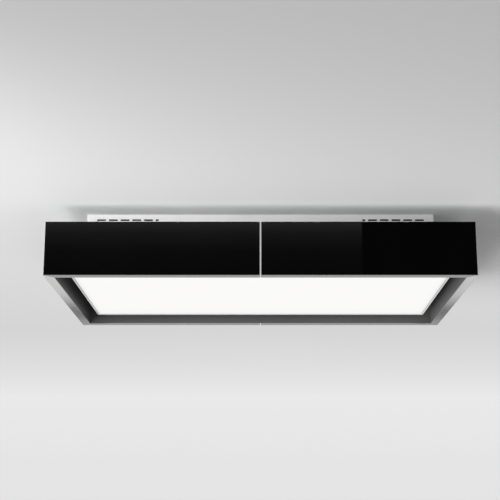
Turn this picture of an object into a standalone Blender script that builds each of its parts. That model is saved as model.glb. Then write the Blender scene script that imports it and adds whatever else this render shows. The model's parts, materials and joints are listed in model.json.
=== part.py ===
"""Ceiling-hung island range hood that cleans and returns the air.

The origin is the centre of the face that meets the ceiling. +Z is up, +X runs along the
long side, and -Y is the front. The hood hangs below the origin. All sizes are in metres.
"""

import math

import bmesh
import bpy
from mathutils import Matrix

# Overall sizes
BODY_LENGTH = 1.200
BODY_DEPTH = 0.670
BODY_HEIGHT = 0.154
HOUSING_HEIGHT = 0.054
HOUSING_SETBACK = 0.100

# Clearances and sheet thicknesses
GAP = 0.0003
RUNNING_GAP = 0.0006
SHEET = 0.001
STRONG_SHEET = 0.0012
OVERCUT = 0.002

# Ceiling plate, hangers and housing
PLATE_THICKNESS = 0.0015
PLATE_FLANGE = 0.030
PLATE_SIDE_CLEARANCE = 0.001
KEYHOLE_INSET_X = 0.120
KEYHOLE_INSET_Y = 0.060
KEYHOLE_RADIUS = 0.007
KEYHOLE_SLOT_WIDTH = 0.006
KEYHOLE_SLOT_LENGTH = 0.016
CABLE_X = 0.160
CABLE_CLEARANCE = 0.004
CABLE_HOLE_RADIUS = 0.016
CABLE_PASS_RADIUS = 0.009
CABLE_PASS_OFFSET = 0.050
GROMMET_WALL = 0.003
GROMMET_LIP = 0.004
GROMMET_LIP_THICKNESS = 0.002
HOUSING_SHADOW_GAP = 0.001
HANGER_CLEARANCE = 0.004
HANGER_FLANGE = 0.022
HANGER_FILTER_CLEARANCE = 0.020
SCREW_HEAD_RADIUS = 0.004
SCREW_HEAD_HEIGHT = 0.0022
SCREW_CROWN_RADIUS = 0.0028
SCREW_SHANK_RADIUS = 0.0018
SCREW_SHANK_LENGTH = 0.007
SCREW_INSET_Y = 0.085
SCREW_DROP = 0.018

# Air slots in the front and back of the housing
SLOT_LENGTH = 0.0254
SLOT_HEIGHT = 0.005
SLOT_BRIDGE = 0.0084
SLOT_COUNT = 5
SLOT_END_INSET = 0.0286
SLOT_ROW_DROPS = (0.018, 0.029, 0.040)

# Carbon filters and the duct that feeds them
CARBON_MARGIN = 0.004
CARBON_SIDE_CLEARANCE = 0.012
CARBON_POCKET = 0.004
CARBON_FRAME = 0.008
DIVERTER_CLEARANCE = 0.0015
DIVERTER_HALF_WIDTH = 0.100

# Glass, rails and dividers
GLASS_THICKNESS = 0.005
RIM_WIDTH = 0.027
DIVIDER_WIDTH = 0.004
TOP_LIP_HEIGHT = 0.020

# Light panel
SUCTION_GAP = 0.031
PANEL_RECESS = 0.023
PANEL_HEIGHT = 0.015
PANEL_CORNER = 0.008
TRIM_FACE = 0.003
DIFFUSER_THICKNESS = 0.003
LED_STRIP_WIDTH = 0.012
LED_STRIP_THICKNESS = 0.0016
LED_STRIP_Y = 0.130
LED_STRIP_END_INSET = 0.020

# Space above the light panel, and the filter plate that closes it
PLENUM_HEIGHT = 0.028
GREASE_LENGTH = 0.300
GREASE_DEPTH = 0.300
GREASE_THICKNESS = 0.009
GREASE_BAR = 0.036
GREASE_SEAT = 0.008
GREASE_FRAME = 0.014
GREASE_POCKET = 0.003
KEEPER_WIDTH = 0.026
KEEPER_GAP = 0.003
KEEPER_HEIGHT = 0.017
HOOK_WIDTH = 0.060
HOOK_REACH = 0.008
LATCH_LENGTH = 0.028
LATCH_WIDTH = 0.036
LATCH_THICKNESS = 0.003
LATCH_TONGUE_WIDTH = 0.014
LATCH_TONGUE_LENGTH = 0.008
LATCH_GRIP_HEIGHT = 0.004
LATCH_GRIP_DEPTH = 0.006

# Hinges and catches of the light panel
HINGE_X = 0.400
HINGE_INSET = 0.010
PIVOT_HEIGHT = 0.007
PIN_RADIUS = 0.002
KNUCKLE_RADIUS = 0.004
KNUCKLE_LENGTH = 0.030
KNUCKLE_START = -60.0
KNUCKLE_STEPS = 10
EAR_THICKNESS = 0.0025
EAR_RADIUS = 0.005
LEAF_DEPTH = 0.026
LEAF_BACK = 0.005
BRACKET_DEPTH = 0.022
CATCH_X = 0.300
CATCH_LENGTH = 0.045
CATCH_DEPTH = 0.014
CATCH_INSET = 0.018
STRIKE_LENGTH = 0.038
STRIKE_DEPTH = 0.012

# Blower
BLOWER_X = -0.200
OUTLET_X = -0.070
IMPELLER_RADIUS = 0.088
TONGUE_GAP = 0.010
SCROLL_GROWTH = 0.052
TONGUE_DEGREES = -40.0
OUTLET_DEGREES = 270.0
SPIRAL_STEPS = 24
SCROLL_TOP_CLEARANCE = 0.0045
SCROLL_FILTER_CLEARANCE = 0.013
BLADE_COUNT = 20
BLADE_LENGTH = 0.014
INLET_LAP = 0.003
BLADE_DEGREES = 32.0
RING_HEIGHT = 0.0015
IMPELLER_TOP_CLEARANCE = 0.0048
IMPELLER_BOTTOM_CLEARANCE = 0.0038
MOTOR_RADIUS = 0.045
MOTOR_CLEARANCE = 0.004
MOTOR_TO_INLET = 0.026
SHAFT_RADIUS = 0.004
SHAFT_LENGTH = 0.010
BOSS_RADIUS = 0.009
BOSS_LENGTH = 0.0075
MOTOR_PLATE_RADIUS = 0.062
MOUNT_RADIUS = 0.007
MOUNT_CIRCLE = 0.078
MOUNT_ANGLES = (20.0, 110.0, 200.0, 290.0)
CAPACITOR_RADIUS = 0.018
CAPACITOR_LENGTH = 0.062
CAPACITOR_X = -0.020
CAPACITOR_Y = -0.190

# Non-return flaps and outlet elbow
FLAP_FRAME_LENGTH = 0.030
FLAP_AXIS_INSET = 0.008
FLAP_AXIS_Y = 0.003
FLAP_THICKNESS = 0.0015
FLAP_BARREL = 0.002
FLAP_EDGE_CLEARANCE = 0.001
ELBOW_LENGTH = 0.116
ELBOW_THROAT = 0.010
ELBOW_BEND_RADIUS = 0.060
ELBOW_BEND_STEPS = 6

# Electrics
BOX_X = 0.300
BOX_Y = -0.150
BOX_LENGTH = 0.170
BOX_DEPTH = 0.110
BOX_HEIGHT = 0.046
LID_THICKNESS = 0.0015
LID_OVERHANG = 0.003
DRIVER_Y = 0.150
DRIVER_LENGTH = 0.180
DRIVER_DEPTH = 0.052
DRIVER_HEIGHT = 0.030
DRIVER_FOOT = 0.012
DRIVER_FOOT_THICKNESS = 0.0016
TERMINAL_LENGTH = 0.060
TERMINAL_DEPTH = 0.024
TERMINAL_HEIGHT = 0.020
TERMINAL_STEP = 0.006

ROUND_SEGMENTS = 24
SMALL_SEGMENTS = 12
CORNER_STEPS = 4
SMOOTH_DEGREES = 35.0

# Heights that follow from the sizes above
HOUSING_BOTTOM = -HOUSING_HEIGHT
RIM_BOTTOM = HOUSING_BOTTOM - BODY_HEIGHT
FLANGE_TOP = RIM_BOTTOM + STRONG_SHEET
PANEL_BOTTOM = RIM_BOTTOM + PANEL_RECESS
PANEL_TOP = PANEL_BOTTOM + PANEL_HEIGHT
FILTER_PLATE_BOTTOM = PANEL_TOP + PLENUM_HEIGHT
FILTER_PLATE_TOP = FILTER_PLATE_BOTTOM + SHEET
COVER_UNDERSIDE = HOUSING_BOTTOM - STRONG_SHEET
PLATE_UNDERSIDE = -PLATE_THICKNESS
HALF_LENGTH = BODY_LENGTH / 2
HALF_DEPTH = BODY_DEPTH / 2
HOUSING_HALF_LENGTH = HALF_LENGTH - HOUSING_SETBACK
HOUSING_HALF_DEPTH = HALF_DEPTH - HOUSING_SETBACK
PANEL_HALF_LENGTH = HALF_LENGTH - RIM_WIDTH - SUCTION_GAP
PANEL_HALF_DEPTH = HALF_DEPTH - RIM_WIDTH - SUCTION_GAP
PIVOT_Y = PANEL_HALF_DEPTH - HINGE_INSET
PIVOT_Z = PANEL_TOP + PIVOT_HEIGHT
SLOT_PITCH = SLOT_LENGTH + SLOT_BRIDGE
SHORT_SLOT = (SLOT_PITCH - 2 * SLOT_BRIDGE) / 2
SLOT_GROUP = SLOT_COUNT * SLOT_PITCH + SHORT_SLOT
HANGER_Y = DIVERTER_HALF_WIDTH + HANGER_CLEARANCE
CABLE_Y = HANGER_Y + HANGER_FLANGE + CABLE_CLEARANCE + CABLE_HOLE_RADIUS + GROMMET_LIP
CARBON_LENGTH = SLOT_GROUP + 2 * CARBON_MARGIN
CARBON_CENTRE = HOUSING_HALF_LENGTH - SLOT_END_INSET - SLOT_GROUP / 2
DIVERTER_HALF_LENGTH = CARBON_CENTRE - CARBON_LENGTH / 2 - DIVERTER_CLEARANCE
SCROLL_TOP = COVER_UNDERSIDE - SCROLL_TOP_CLEARANCE
SCROLL_BOTTOM = FILTER_PLATE_TOP + SCROLL_FILTER_CLEARANCE
CASING_TOP = SCROLL_TOP - SHEET - GAP
SCROLL_START = IMPELLER_RADIUS + TONGUE_GAP
SCROLL_END = SCROLL_START + SCROLL_GROWTH
TONGUE_DROP = -SCROLL_START * math.sin(math.radians(TONGUE_DEGREES))
BLOWER_Y = (SCROLL_END + TONGUE_DROP) / 2
OUTLET_HALF_WIDTH = (SCROLL_END - TONGUE_DROP) / 2
IMPELLER_TOP = CASING_TOP - IMPELLER_TOP_CLEARANCE
IMPELLER_BOTTOM = SCROLL_BOTTOM + SHEET + IMPELLER_BOTTOM_CLEARANCE
MOTOR_BOTTOM = IMPELLER_BOTTOM + MOTOR_TO_INLET
INLET_RADIUS = IMPELLER_RADIUS - BLADE_LENGTH - INLET_LAP
FLAP_FRAME_START = OUTLET_X + GAP
FLAP_FRAME_END = FLAP_FRAME_START + FLAP_FRAME_LENGTH
FLAP_AXIS_X = FLAP_FRAME_START + FLAP_AXIS_INSET
ELBOW_START = FLAP_FRAME_END + GAP
ELBOW_END = ELBOW_START + ELBOW_LENGTH
GREASE_PITCH = GREASE_LENGTH + GREASE_BAR
GREASE_TOP = FILTER_PLATE_BOTTOM - GAP
GREASE_BOTTOM = GREASE_TOP - GREASE_THICKNESS
LATCH_TOP = GREASE_BOTTOM - GAP

FINISHES = {
    "black_glass": ((0.006, 0.006, 0.007), 0.05, 0.0),
    "brushed_steel": ((0.62, 0.62, 0.61), 0.30, 1.0),
    "bright_trim": ((0.80, 0.80, 0.80), 0.20, 1.0),
    "pale_paint": ((0.66, 0.66, 0.66), 0.42, 0.0),
    "black_paint": ((0.012, 0.012, 0.013), 0.30, 0.0),
    "galvanised": ((0.50, 0.52, 0.53), 0.42, 1.0),
    "aluminium": ((0.70, 0.71, 0.72), 0.35, 1.0),
    "carbon_black": ((0.018, 0.018, 0.020), 0.80, 0.0),
    "black_plastic": ((0.02, 0.02, 0.022), 0.50, 0.0),
    "white_plastic": ((0.75, 0.75, 0.73), 0.45, 0.0),
    "white_paint": ((0.80, 0.80, 0.79), 0.40, 0.0),
    "opal_acrylic": ((0.93, 0.92, 0.90), 0.35, 0.0),
    "black_rubber": ((0.03, 0.03, 0.03), 0.75, 0.0),
    "zinc_plate": ((0.58, 0.58, 0.56), 0.33, 1.0),
}


def clear_scene():
    for old in list(bpy.data.objects):
        bpy.data.objects.remove(old, do_unlink=True)


def make_material(name, finish):
    colour, roughness, metallic = FINISHES[finish]
    material = bpy.data.materials.new(name)
    material.use_nodes = True
    shader = material.node_tree.nodes["Principled BSDF"]
    shader.inputs["Base Color"].default_value = (*colour, 1.0)
    shader.inputs["Roughness"].default_value = roughness
    shader.inputs["Metallic"].default_value = metallic
    return material


def add_object(name, shape, finish, at=(0.0, 0.0, 0.0), smooth=False):
    """An object from a bmesh whose points are measured from the place `at`."""
    bmesh.ops.recalc_face_normals(shape, faces=shape.faces)
    mesh = bpy.data.meshes.new(name)
    shape.to_mesh(mesh)
    shape.free()
    if smooth:
        mesh.shade_smooth()
        mesh.set_sharp_from_angle(angle=math.radians(SMOOTH_DEGREES))
    mesh.materials.append(make_material(name, finish))
    node = bpy.data.objects.new(name, mesh)
    node.location = at
    bpy.context.scene.collection.objects.link(node)
    return node


def add_tool(name, shape, at=(0.0, 0.0, 0.0)):
    """A shape that only cuts or joins, hidden from renders."""
    bmesh.ops.recalc_face_normals(shape, faces=shape.faces)
    mesh = bpy.data.meshes.new(name)
    shape.to_mesh(mesh)
    shape.free()
    tool = bpy.data.objects.new(name, mesh)
    tool.location = at
    tool.hide_render = True
    tool.display_type = "WIRE"
    bpy.context.scene.collection.objects.link(tool)
    return tool


def apply_tool(node, tool, operation):
    change = node.modifiers.new(tool.name, "BOOLEAN")
    change.operation = operation
    change.solver = "EXACT"
    change.object = tool


def cut(node, tool):
    apply_tool(node, tool, "DIFFERENCE")


def join(node, tool):
    apply_tool(node, tool, "UNION")


def ride_on(node, axis):
    """Parents a node to an axis empty without moving the node."""
    node.parent = axis
    node.matrix_parent_inverse = Matrix.Translation(axis.location).inverted()


def add_axis(name, at):
    axis = bpy.data.objects.new(name, None)
    axis.location = at
    bpy.context.scene.collection.objects.link(axis)
    return axis


def add_block(shape, x, y, z):
    """Adds a box that fills the ranges x, y and z."""
    prism(shape, [(x[0], y[0]), (x[1], y[0]), (x[1], y[1]), (x[0], y[1])], "Z", z)


def block(x, y, z):
    shape = bmesh.new()
    add_block(shape, x, y, z)
    return shape


def placed(axis, across, along):
    """The point whose two outline values are across and whose value on the axis is along."""
    if axis == "X":
        return (along, across[0], across[1])
    if axis == "Y":
        return (across[0], along, across[1])
    return (across[0], across[1], along)


def prism(shape, outline, axis, reach):
    """Adds an outline pushed along an axis, closed at both ends."""
    near = [shape.verts.new(placed(axis, point, reach[0])) for point in outline]
    far = [shape.verts.new(placed(axis, point, reach[1])) for point in outline]
    shape.faces.new(near)
    shape.faces.new(far)
    for i in range(len(outline)):
        j = (i + 1) % len(outline)
        shape.faces.new((near[i], near[j], far[j], far[i]))


def frame(shape, outer, inner, reach):
    """Adds the upright wall between two outlines with the same number of points."""
    loops = [
        [shape.verts.new((x, y, z)) for x, y in outline]
        for outline, z in ((outer, reach[0]), (outer, reach[1]), (inner, reach[1]), (inner, reach[0]))
    ]
    for first, second in zip(loops, loops[1:] + loops[:1]):
        for i in range(len(outer)):
            j = (i + 1) % len(outer)
            shape.faces.new((first[i], first[j], second[j], second[i]))


def turn(shape, profile, segments, centre=(0.0, 0.0)):
    """Adds a closed profile of (radius, height) turned about a vertical axis."""
    rings = []
    for radius, height in profile:
        if radius == 0.0:
            rings.append([shape.verts.new((centre[0], centre[1], height))] * segments)
            continue
        ring = []
        for i in range(segments):
            angle = math.tau * i / segments
            x = centre[0] + radius * math.cos(angle)
            y = centre[1] + radius * math.sin(angle)
            ring.append(shape.verts.new((x, y, height)))
        rings.append(ring)
    for first, second in zip(rings, rings[1:] + rings[:1]):
        for i in range(segments):
            j = (i + 1) % segments
            corners = dict.fromkeys((first[i], first[j], second[j], second[i]))
            if len(corners) > 2:
                shape.faces.new(tuple(corners))


def disc(outline_radius, segments, centre=(0.0, 0.0)):
    """Points of a circle."""
    return [
        (
            centre[0] + outline_radius * math.cos(math.tau * i / segments),
            centre[1] + outline_radius * math.sin(math.tau * i / segments),
        )
        for i in range(segments)
    ]


def rectangle(half_x, half_y):
    return [(-half_x, -half_y), (half_x, -half_y), (half_x, half_y), (-half_x, half_y)]


def rounded_rectangle(half_x, half_y, radius):
    points = []
    for quarter, (sx, sy) in enumerate(((1, 1), (-1, 1), (-1, -1), (1, -1))):
        for step in range(CORNER_STEPS + 1):
            angle = math.pi / 2 * (quarter + step / CORNER_STEPS)
            x = sx * (half_x - radius) + radius * math.cos(angle)
            y = sy * (half_y - radius) + radius * math.sin(angle)
            points.append((x, y))
    return points


def ceiling_plate():
    """Folded plate that is screwed to the ceiling, with keyholes and a cable hole."""
    half_x = HOUSING_HALF_LENGTH - SHEET - PLATE_SIDE_CLEARANCE
    half_y = HOUSING_HALF_DEPTH - SHEET - PLATE_SIDE_CLEARANCE
    inner = half_x - PLATE_THICKNESS
    section = [
        (-half_x, 0.0),
        (-half_x, -PLATE_FLANGE),
        (-inner, -PLATE_FLANGE),
        (-inner, PLATE_UNDERSIDE),
        (inner, PLATE_UNDERSIDE),
        (inner, -PLATE_FLANGE),
        (half_x, -PLATE_FLANGE),
        (half_x, 0.0),
    ]
    shape = bmesh.new()
    prism(shape, section, "Y", (-half_y, half_y))
    plate = add_object("ceiling_plate", shape, "galvanised")
    through = (PLATE_UNDERSIDE - OVERCUT, OVERCUT)
    for sx in (-1, 1):
        for sy in (-1, 1):
            x = sx * (half_x - KEYHOLE_INSET_X)
            y = sy * (half_y - KEYHOLE_INSET_Y)
            hole = bmesh.new()
            prism(hole, disc(KEYHOLE_RADIUS, SMALL_SEGMENTS, (x, y)), "Z", through)
            cut(plate, add_tool("keyhole_head", hole))
            half_slot = KEYHOLE_SLOT_WIDTH / 2
            slot = block((x, x + KEYHOLE_SLOT_LENGTH), (y - half_slot, y + half_slot), through)
            cut(plate, add_tool("keyhole_slot", slot))
    hole = bmesh.new()
    prism(hole, disc(CABLE_HOLE_RADIUS, ROUND_SEGMENTS, (CABLE_X, CABLE_Y)), "Z", through)
    cut(plate, add_tool("cable_hole", hole))
    for x, y, z, _ in screw_places():
        cut(plate, add_tool("plate_screw_hole", screw_hole(x, y, z)))


def cable_grommet():
    """Rubber ring that lines the cable hole of the ceiling plate, with a lip below it."""
    outer = CABLE_HOLE_RADIUS - GAP
    inner = outer - GROMMET_WALL
    lip_top = PLATE_UNDERSIDE - GAP
    lip_bottom = lip_top - GROMMET_LIP_THICKNESS
    profile = [
        (inner, lip_bottom),
        (outer + GROMMET_LIP, lip_bottom),
        (outer + GROMMET_LIP, lip_top),
        (outer, lip_top),
        (outer, -GAP),
        (inner, -GAP),
    ]
    shape = bmesh.new()
    turn(shape, profile, ROUND_SEGMENTS)
    add_object("cable_grommet", shape, "black_rubber", (CABLE_X, CABLE_Y, 0.0), smooth=True)


def hangers():
    """Two channels that carry the hood below the ceiling plate."""
    half_x = DIVERTER_HALF_LENGTH - HANGER_FILTER_CLEARANCE
    top = PLATE_UNDERSIDE - GAP
    bottom = HOUSING_BOTTOM + GAP
    for side, name in ((-1, "hanger_front"), (1, "hanger_back")):
        far = HANGER_FLANGE
        section = [
            (0.0, top),
            (0.0, bottom),
            (side * far, bottom),
            (side * far, bottom + PLATE_THICKNESS),
            (side * PLATE_THICKNESS, bottom + PLATE_THICKNESS),
            (side * PLATE_THICKNESS, top - PLATE_THICKNESS),
            (side * far, top - PLATE_THICKNESS),
            (side * far, top),
        ]
        shape = bmesh.new()
        prism(shape, section, "X", (-half_x, half_x))
        add_object(name, shape, "galvanised", (0.0, side * HANGER_Y, 0.0))


def screw_places():
    """Position and outward direction of each screw that holds the housing."""
    y = HOUSING_HALF_DEPTH - SCREW_INSET_Y
    return [
        (sx * HOUSING_HALF_LENGTH, sy * y, -SCREW_DROP, sx)
        for sx in (-1, 1)
        for sy in (-1, 1)
    ]


def screw_hole(x, y, z):
    shape = bmesh.new()
    half = SCREW_SHANK_LENGTH + OVERCUT
    ring = disc(SCREW_SHANK_RADIUS + GAP, SMALL_SEGMENTS, (y, z))
    prism(shape, ring, "X", (x - half, x + half))
    return shape


def housing_screws():
    names = ("left_front", "left_back", "right_front", "right_back")
    for name, (x, y, z, side) in zip(names, screw_places()):
        head = SCREW_HEAD_HEIGHT + GAP
        profile = [
            (0.0, head),
            (SCREW_CROWN_RADIUS, head),
            (SCREW_HEAD_RADIUS, head / 2),
            (SCREW_HEAD_RADIUS, GAP),
            (SCREW_SHANK_RADIUS, GAP),
            (SCREW_SHANK_RADIUS, -SCREW_SHANK_LENGTH),
            (0.0, -SCREW_SHANK_LENGTH),
        ]
        shape = bmesh.new()
        turn(shape, profile, SMALL_SEGMENTS)
        screw = add_object("housing_screw_" + name, shape, "zinc_plate", (x, y, z), smooth=True)
        screw.rotation_euler = (0.0, side * math.pi / 2, 0.0)


def slot_row(shape, start, drop, short_first, y):
    """Adds one row of cutters: long slots and one short one, from start towards the centre."""
    x = start
    lengths = [SLOT_LENGTH] * SLOT_COUNT
    lengths.insert(0 if short_first else SLOT_COUNT, SHORT_SLOT)
    for length in lengths:
        z = (-drop - SLOT_HEIGHT / 2, -drop + SLOT_HEIGHT / 2)
        for low, high in ((x, x + length), (-x - length, -x)):
            add_block(shape, (low, high), (y - OVERCUT, y + OVERCUT), z)
        x += length + SLOT_BRIDGE


def upper_housing():
    """Painted shroud round the space above the body, slotted where the clean air leaves."""
    shape = bmesh.new()
    outer = rectangle(HOUSING_HALF_LENGTH, HOUSING_HALF_DEPTH)
    inner = rectangle(HOUSING_HALF_LENGTH - SHEET, HOUSING_HALF_DEPTH - SHEET)
    frame(shape, outer, inner, (HOUSING_BOTTOM + GAP, -HOUSING_SHADOW_GAP))
    housing = add_object("upper_housing", shape, "pale_paint")
    start = -HOUSING_HALF_LENGTH + SLOT_END_INSET
    for wall in (-1, 1):
        slots = bmesh.new()
        for row, drop in enumerate(SLOT_ROW_DROPS):
            y = wall * (HOUSING_HALF_DEPTH - SHEET / 2)
            slot_row(slots, start, drop, row % 2 == 1, y)
        cut(housing, add_tool("housing_slots", slots))
    for x, y, z, _ in screw_places():
        cut(housing, add_tool("housing_screw_hole", screw_hole(x, y, z)))


def carbon_filters():
    """Cassettes behind the slots, with a shallow pocket in the two faces that the air leaves by."""
    half_x = CARBON_LENGTH / 2
    half_y = HOUSING_HALF_DEPTH - SHEET - CARBON_SIDE_CLEARANCE
    top = PLATE_UNDERSIDE - CARBON_MARGIN
    bottom = HOUSING_BOTTOM + GAP
    for side, name in ((-1, "carbon_filter_left"), (1, "carbon_filter_right")):
        shape = block((-half_x, half_x), (-half_y, half_y), (bottom, top))
        cassette = add_object(name, shape, "carbon_black", (side * CARBON_CENTRE, 0.0, 0.0))
        pockets = bmesh.new()
        for face in (-1, 1):
            near = sorted((face * (half_y - CARBON_POCKET), face * (half_y + OVERCUT)))
            reach_x = (-half_x + CARBON_FRAME, half_x - CARBON_FRAME)
            add_block(pockets, reach_x, near, (bottom + CARBON_FRAME, top - CARBON_FRAME))
        cut(cassette, add_tool(name + "_pockets", pockets, (side * CARBON_CENTRE, 0.0, 0.0)))


def diverter_duct():
    """Flat duct that takes the air from the elbow to both carbon filters."""
    top = PLATE_UNDERSIDE - DIVERTER_CLEARANCE
    bottom = HOUSING_BOTTOM + DIVERTER_CLEARANCE
    reach_x = (-DIVERTER_HALF_LENGTH, DIVERTER_HALF_LENGTH)
    reach_y = (-DIVERTER_HALF_WIDTH, DIVERTER_HALF_WIDTH)
    duct = add_object("diverter_duct", block(reach_x, reach_y, (bottom, top)), "galvanised")
    hollow = block(
        (reach_x[0] - OVERCUT, reach_x[1] + OVERCUT),
        (reach_y[0] + SHEET, reach_y[1] - SHEET),
        (bottom + SHEET, top - SHEET),
    )
    cut(duct, add_tool("diverter_hollow", hollow))
    mouth = block(
        (ELBOW_START + ELBOW_THROAT - GAP, ELBOW_END + GAP),
        (-OUTLET_HALF_WIDTH - GAP, OUTLET_HALF_WIDTH + GAP),
        (bottom - OVERCUT, bottom + SHEET + OVERCUT),
    )
    cut(duct, add_tool("diverter_mouth", mouth))


def top_cover():
    """Lid of the body, folded down inside the rails, with the hole for the air outlet."""
    edge = GLASS_THICKNESS + GAP
    lip = edge + STRONG_SHEET + GAP
    half_x = HALF_LENGTH - edge
    half_y = HALF_DEPTH - edge
    sheet = block((-half_x, half_x), (-half_y, half_y), (COVER_UNDERSIDE, HOUSING_BOTTOM))
    cover = add_object("top_cover", sheet, "galvanised")
    outer = rectangle(HALF_LENGTH - lip, HALF_DEPTH - lip)
    inner = rectangle(HALF_LENGTH - lip - SHEET, HALF_DEPTH - lip - SHEET)
    skirt = bmesh.new()
    frame(skirt, outer, inner, (COVER_UNDERSIDE - TOP_LIP_HEIGHT, COVER_UNDERSIDE + SHEET / 2))
    join(cover, add_tool("cover_lip", skirt))
    outlet = block(
        (ELBOW_START + ELBOW_THROAT - GAP, ELBOW_END + GAP),
        (-OUTLET_HALF_WIDTH - GAP, OUTLET_HALF_WIDTH + GAP),
        (COVER_UNDERSIDE - OVERCUT, HOUSING_BOTTOM + OVERCUT),
    )
    cut(cover, add_tool("cover_outlet", outlet))
    hole = bmesh.new()
    ring = disc(CABLE_PASS_RADIUS, SMALL_SEGMENTS, (CABLE_X - CABLE_PASS_OFFSET, CABLE_Y))
    prism(hole, ring, "Z", (COVER_UNDERSIDE - OVERCUT, HOUSING_BOTTOM + OVERCUT))
    cut(cover, add_tool("cover_cable_hole", hole))


def glass_panels():
    """Six black glass panels that stand on the rim and hide the rails."""
    height = (FLANGE_TOP + GAP, HOUSING_BOTTOM)
    inner = DIVIDER_WIDTH / 2 + GAP
    for sy, face in ((-1, "front"), (1, "back")):
        reach_y = sorted((sy * HALF_DEPTH, sy * (HALF_DEPTH - GLASS_THICKNESS)))
        for sx, side in ((-1, "left"), (1, "right")):
            reach_x = sorted((sx * inner, sx * HALF_LENGTH))
            add_object(f"glass_{face}_{side}", block(reach_x, reach_y, height), "black_glass")
    half_y = HALF_DEPTH - GLASS_THICKNESS - GAP
    for sx, side in ((-1, "left"), (1, "right")):
        reach_x = sorted((sx * HALF_LENGTH, sx * (HALF_LENGTH - GLASS_THICKNESS)))
        add_object(f"glass_{side}", block(reach_x, (-half_y, half_y), height), "black_glass")


def rail(name, half_length, outer, turned):
    """A folded rail with mitred ends: the rim below, and a web that the glass is bonded to."""
    web = GLASS_THICKNESS + GAP
    top = COVER_UNDERSIDE - GAP
    section = [
        (0.0, RIM_BOTTOM),
        (RIM_WIDTH, RIM_BOTTOM),
        (RIM_WIDTH, FLANGE_TOP),
        (web + STRONG_SHEET, FLANGE_TOP),
        (web + STRONG_SHEET, top),
        (web, top),
        (web, FLANGE_TOP),
        (0.0, FLANGE_TOP),
    ]
    shape = bmesh.new()
    ends = []
    for sx in (-1, 1):
        reach = half_length - GAP / 2
        ends.append([shape.verts.new((sx * (reach - inward), inward, z)) for inward, z in section])
    for end in ends:
        shape.faces.new(end)
    for i in range(len(section)):
        j = (i + 1) % len(section)
        shape.faces.new((ends[0][i], ends[0][j], ends[1][j], ends[1][i]))
    angle = math.radians(turned)
    at = (outer * math.sin(angle), -outer * math.cos(angle), 0.0)
    node = add_object(name, shape, "brushed_steel", at)
    node.rotation_euler = (0.0, 0.0, angle)
    return node


def rails():
    front = rail("rail_front", HALF_LENGTH, HALF_DEPTH, 0.0)
    rail("rail_right", HALF_DEPTH, HALF_LENGTH, 90.0)
    back = rail("rail_back", HALF_LENGTH, HALF_DEPTH, 180.0)
    rail("rail_left", HALF_DEPTH, HALF_LENGTH, 270.0)
    half = DIVIDER_WIDTH / 2 + GAP
    for sy, node in ((-1, front), (1, back)):
        reach_y = sorted((sy * (HALF_DEPTH + OVERCUT), sy * (HALF_DEPTH - RIM_WIDTH - OVERCUT)))
        notch = block((-half, half), reach_y, (RIM_BOTTOM - OVERCUT, FLANGE_TOP + GAP))
        cut(node, add_tool(node.name + "_notch", notch))


def dividers():
    """Bright strips between the two glass panels, folded under the rim."""
    half = DIVIDER_WIDTH / 2
    for sy, name in ((-1, "divider_front"), (1, "divider_back")):
        section = [
            (0.0, HOUSING_BOTTOM),
            (0.0, RIM_BOTTOM),
            (-sy * RIM_WIDTH, RIM_BOTTOM),
            (-sy * RIM_WIDTH, FLANGE_TOP),
            (-sy * GLASS_THICKNESS, FLANGE_TOP),
            (-sy * GLASS_THICKNESS, HOUSING_BOTTOM),
        ]
        shape = bmesh.new()
        prism(shape, section, "X", (-half, half))
        add_object(name, shape, "bright_trim", (0.0, sy * HALF_DEPTH, 0.0))


def inner_liner():
    """Black wall round the recess, standing on the inner edge of the rim."""
    half_x = HALF_LENGTH - RIM_WIDTH
    half_y = HALF_DEPTH - RIM_WIDTH
    shape = bmesh.new()
    reach = (FLANGE_TOP + GAP, FILTER_PLATE_BOTTOM - GAP)
    frame(shape, rectangle(half_x + SHEET, half_y + SHEET), rectangle(half_x, half_y), reach)
    add_object("inner_liner", shape, "black_paint")


def grease_centres():
    return (("left", -GREASE_PITCH), ("centre", 0.0), ("right", GREASE_PITCH))


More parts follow.
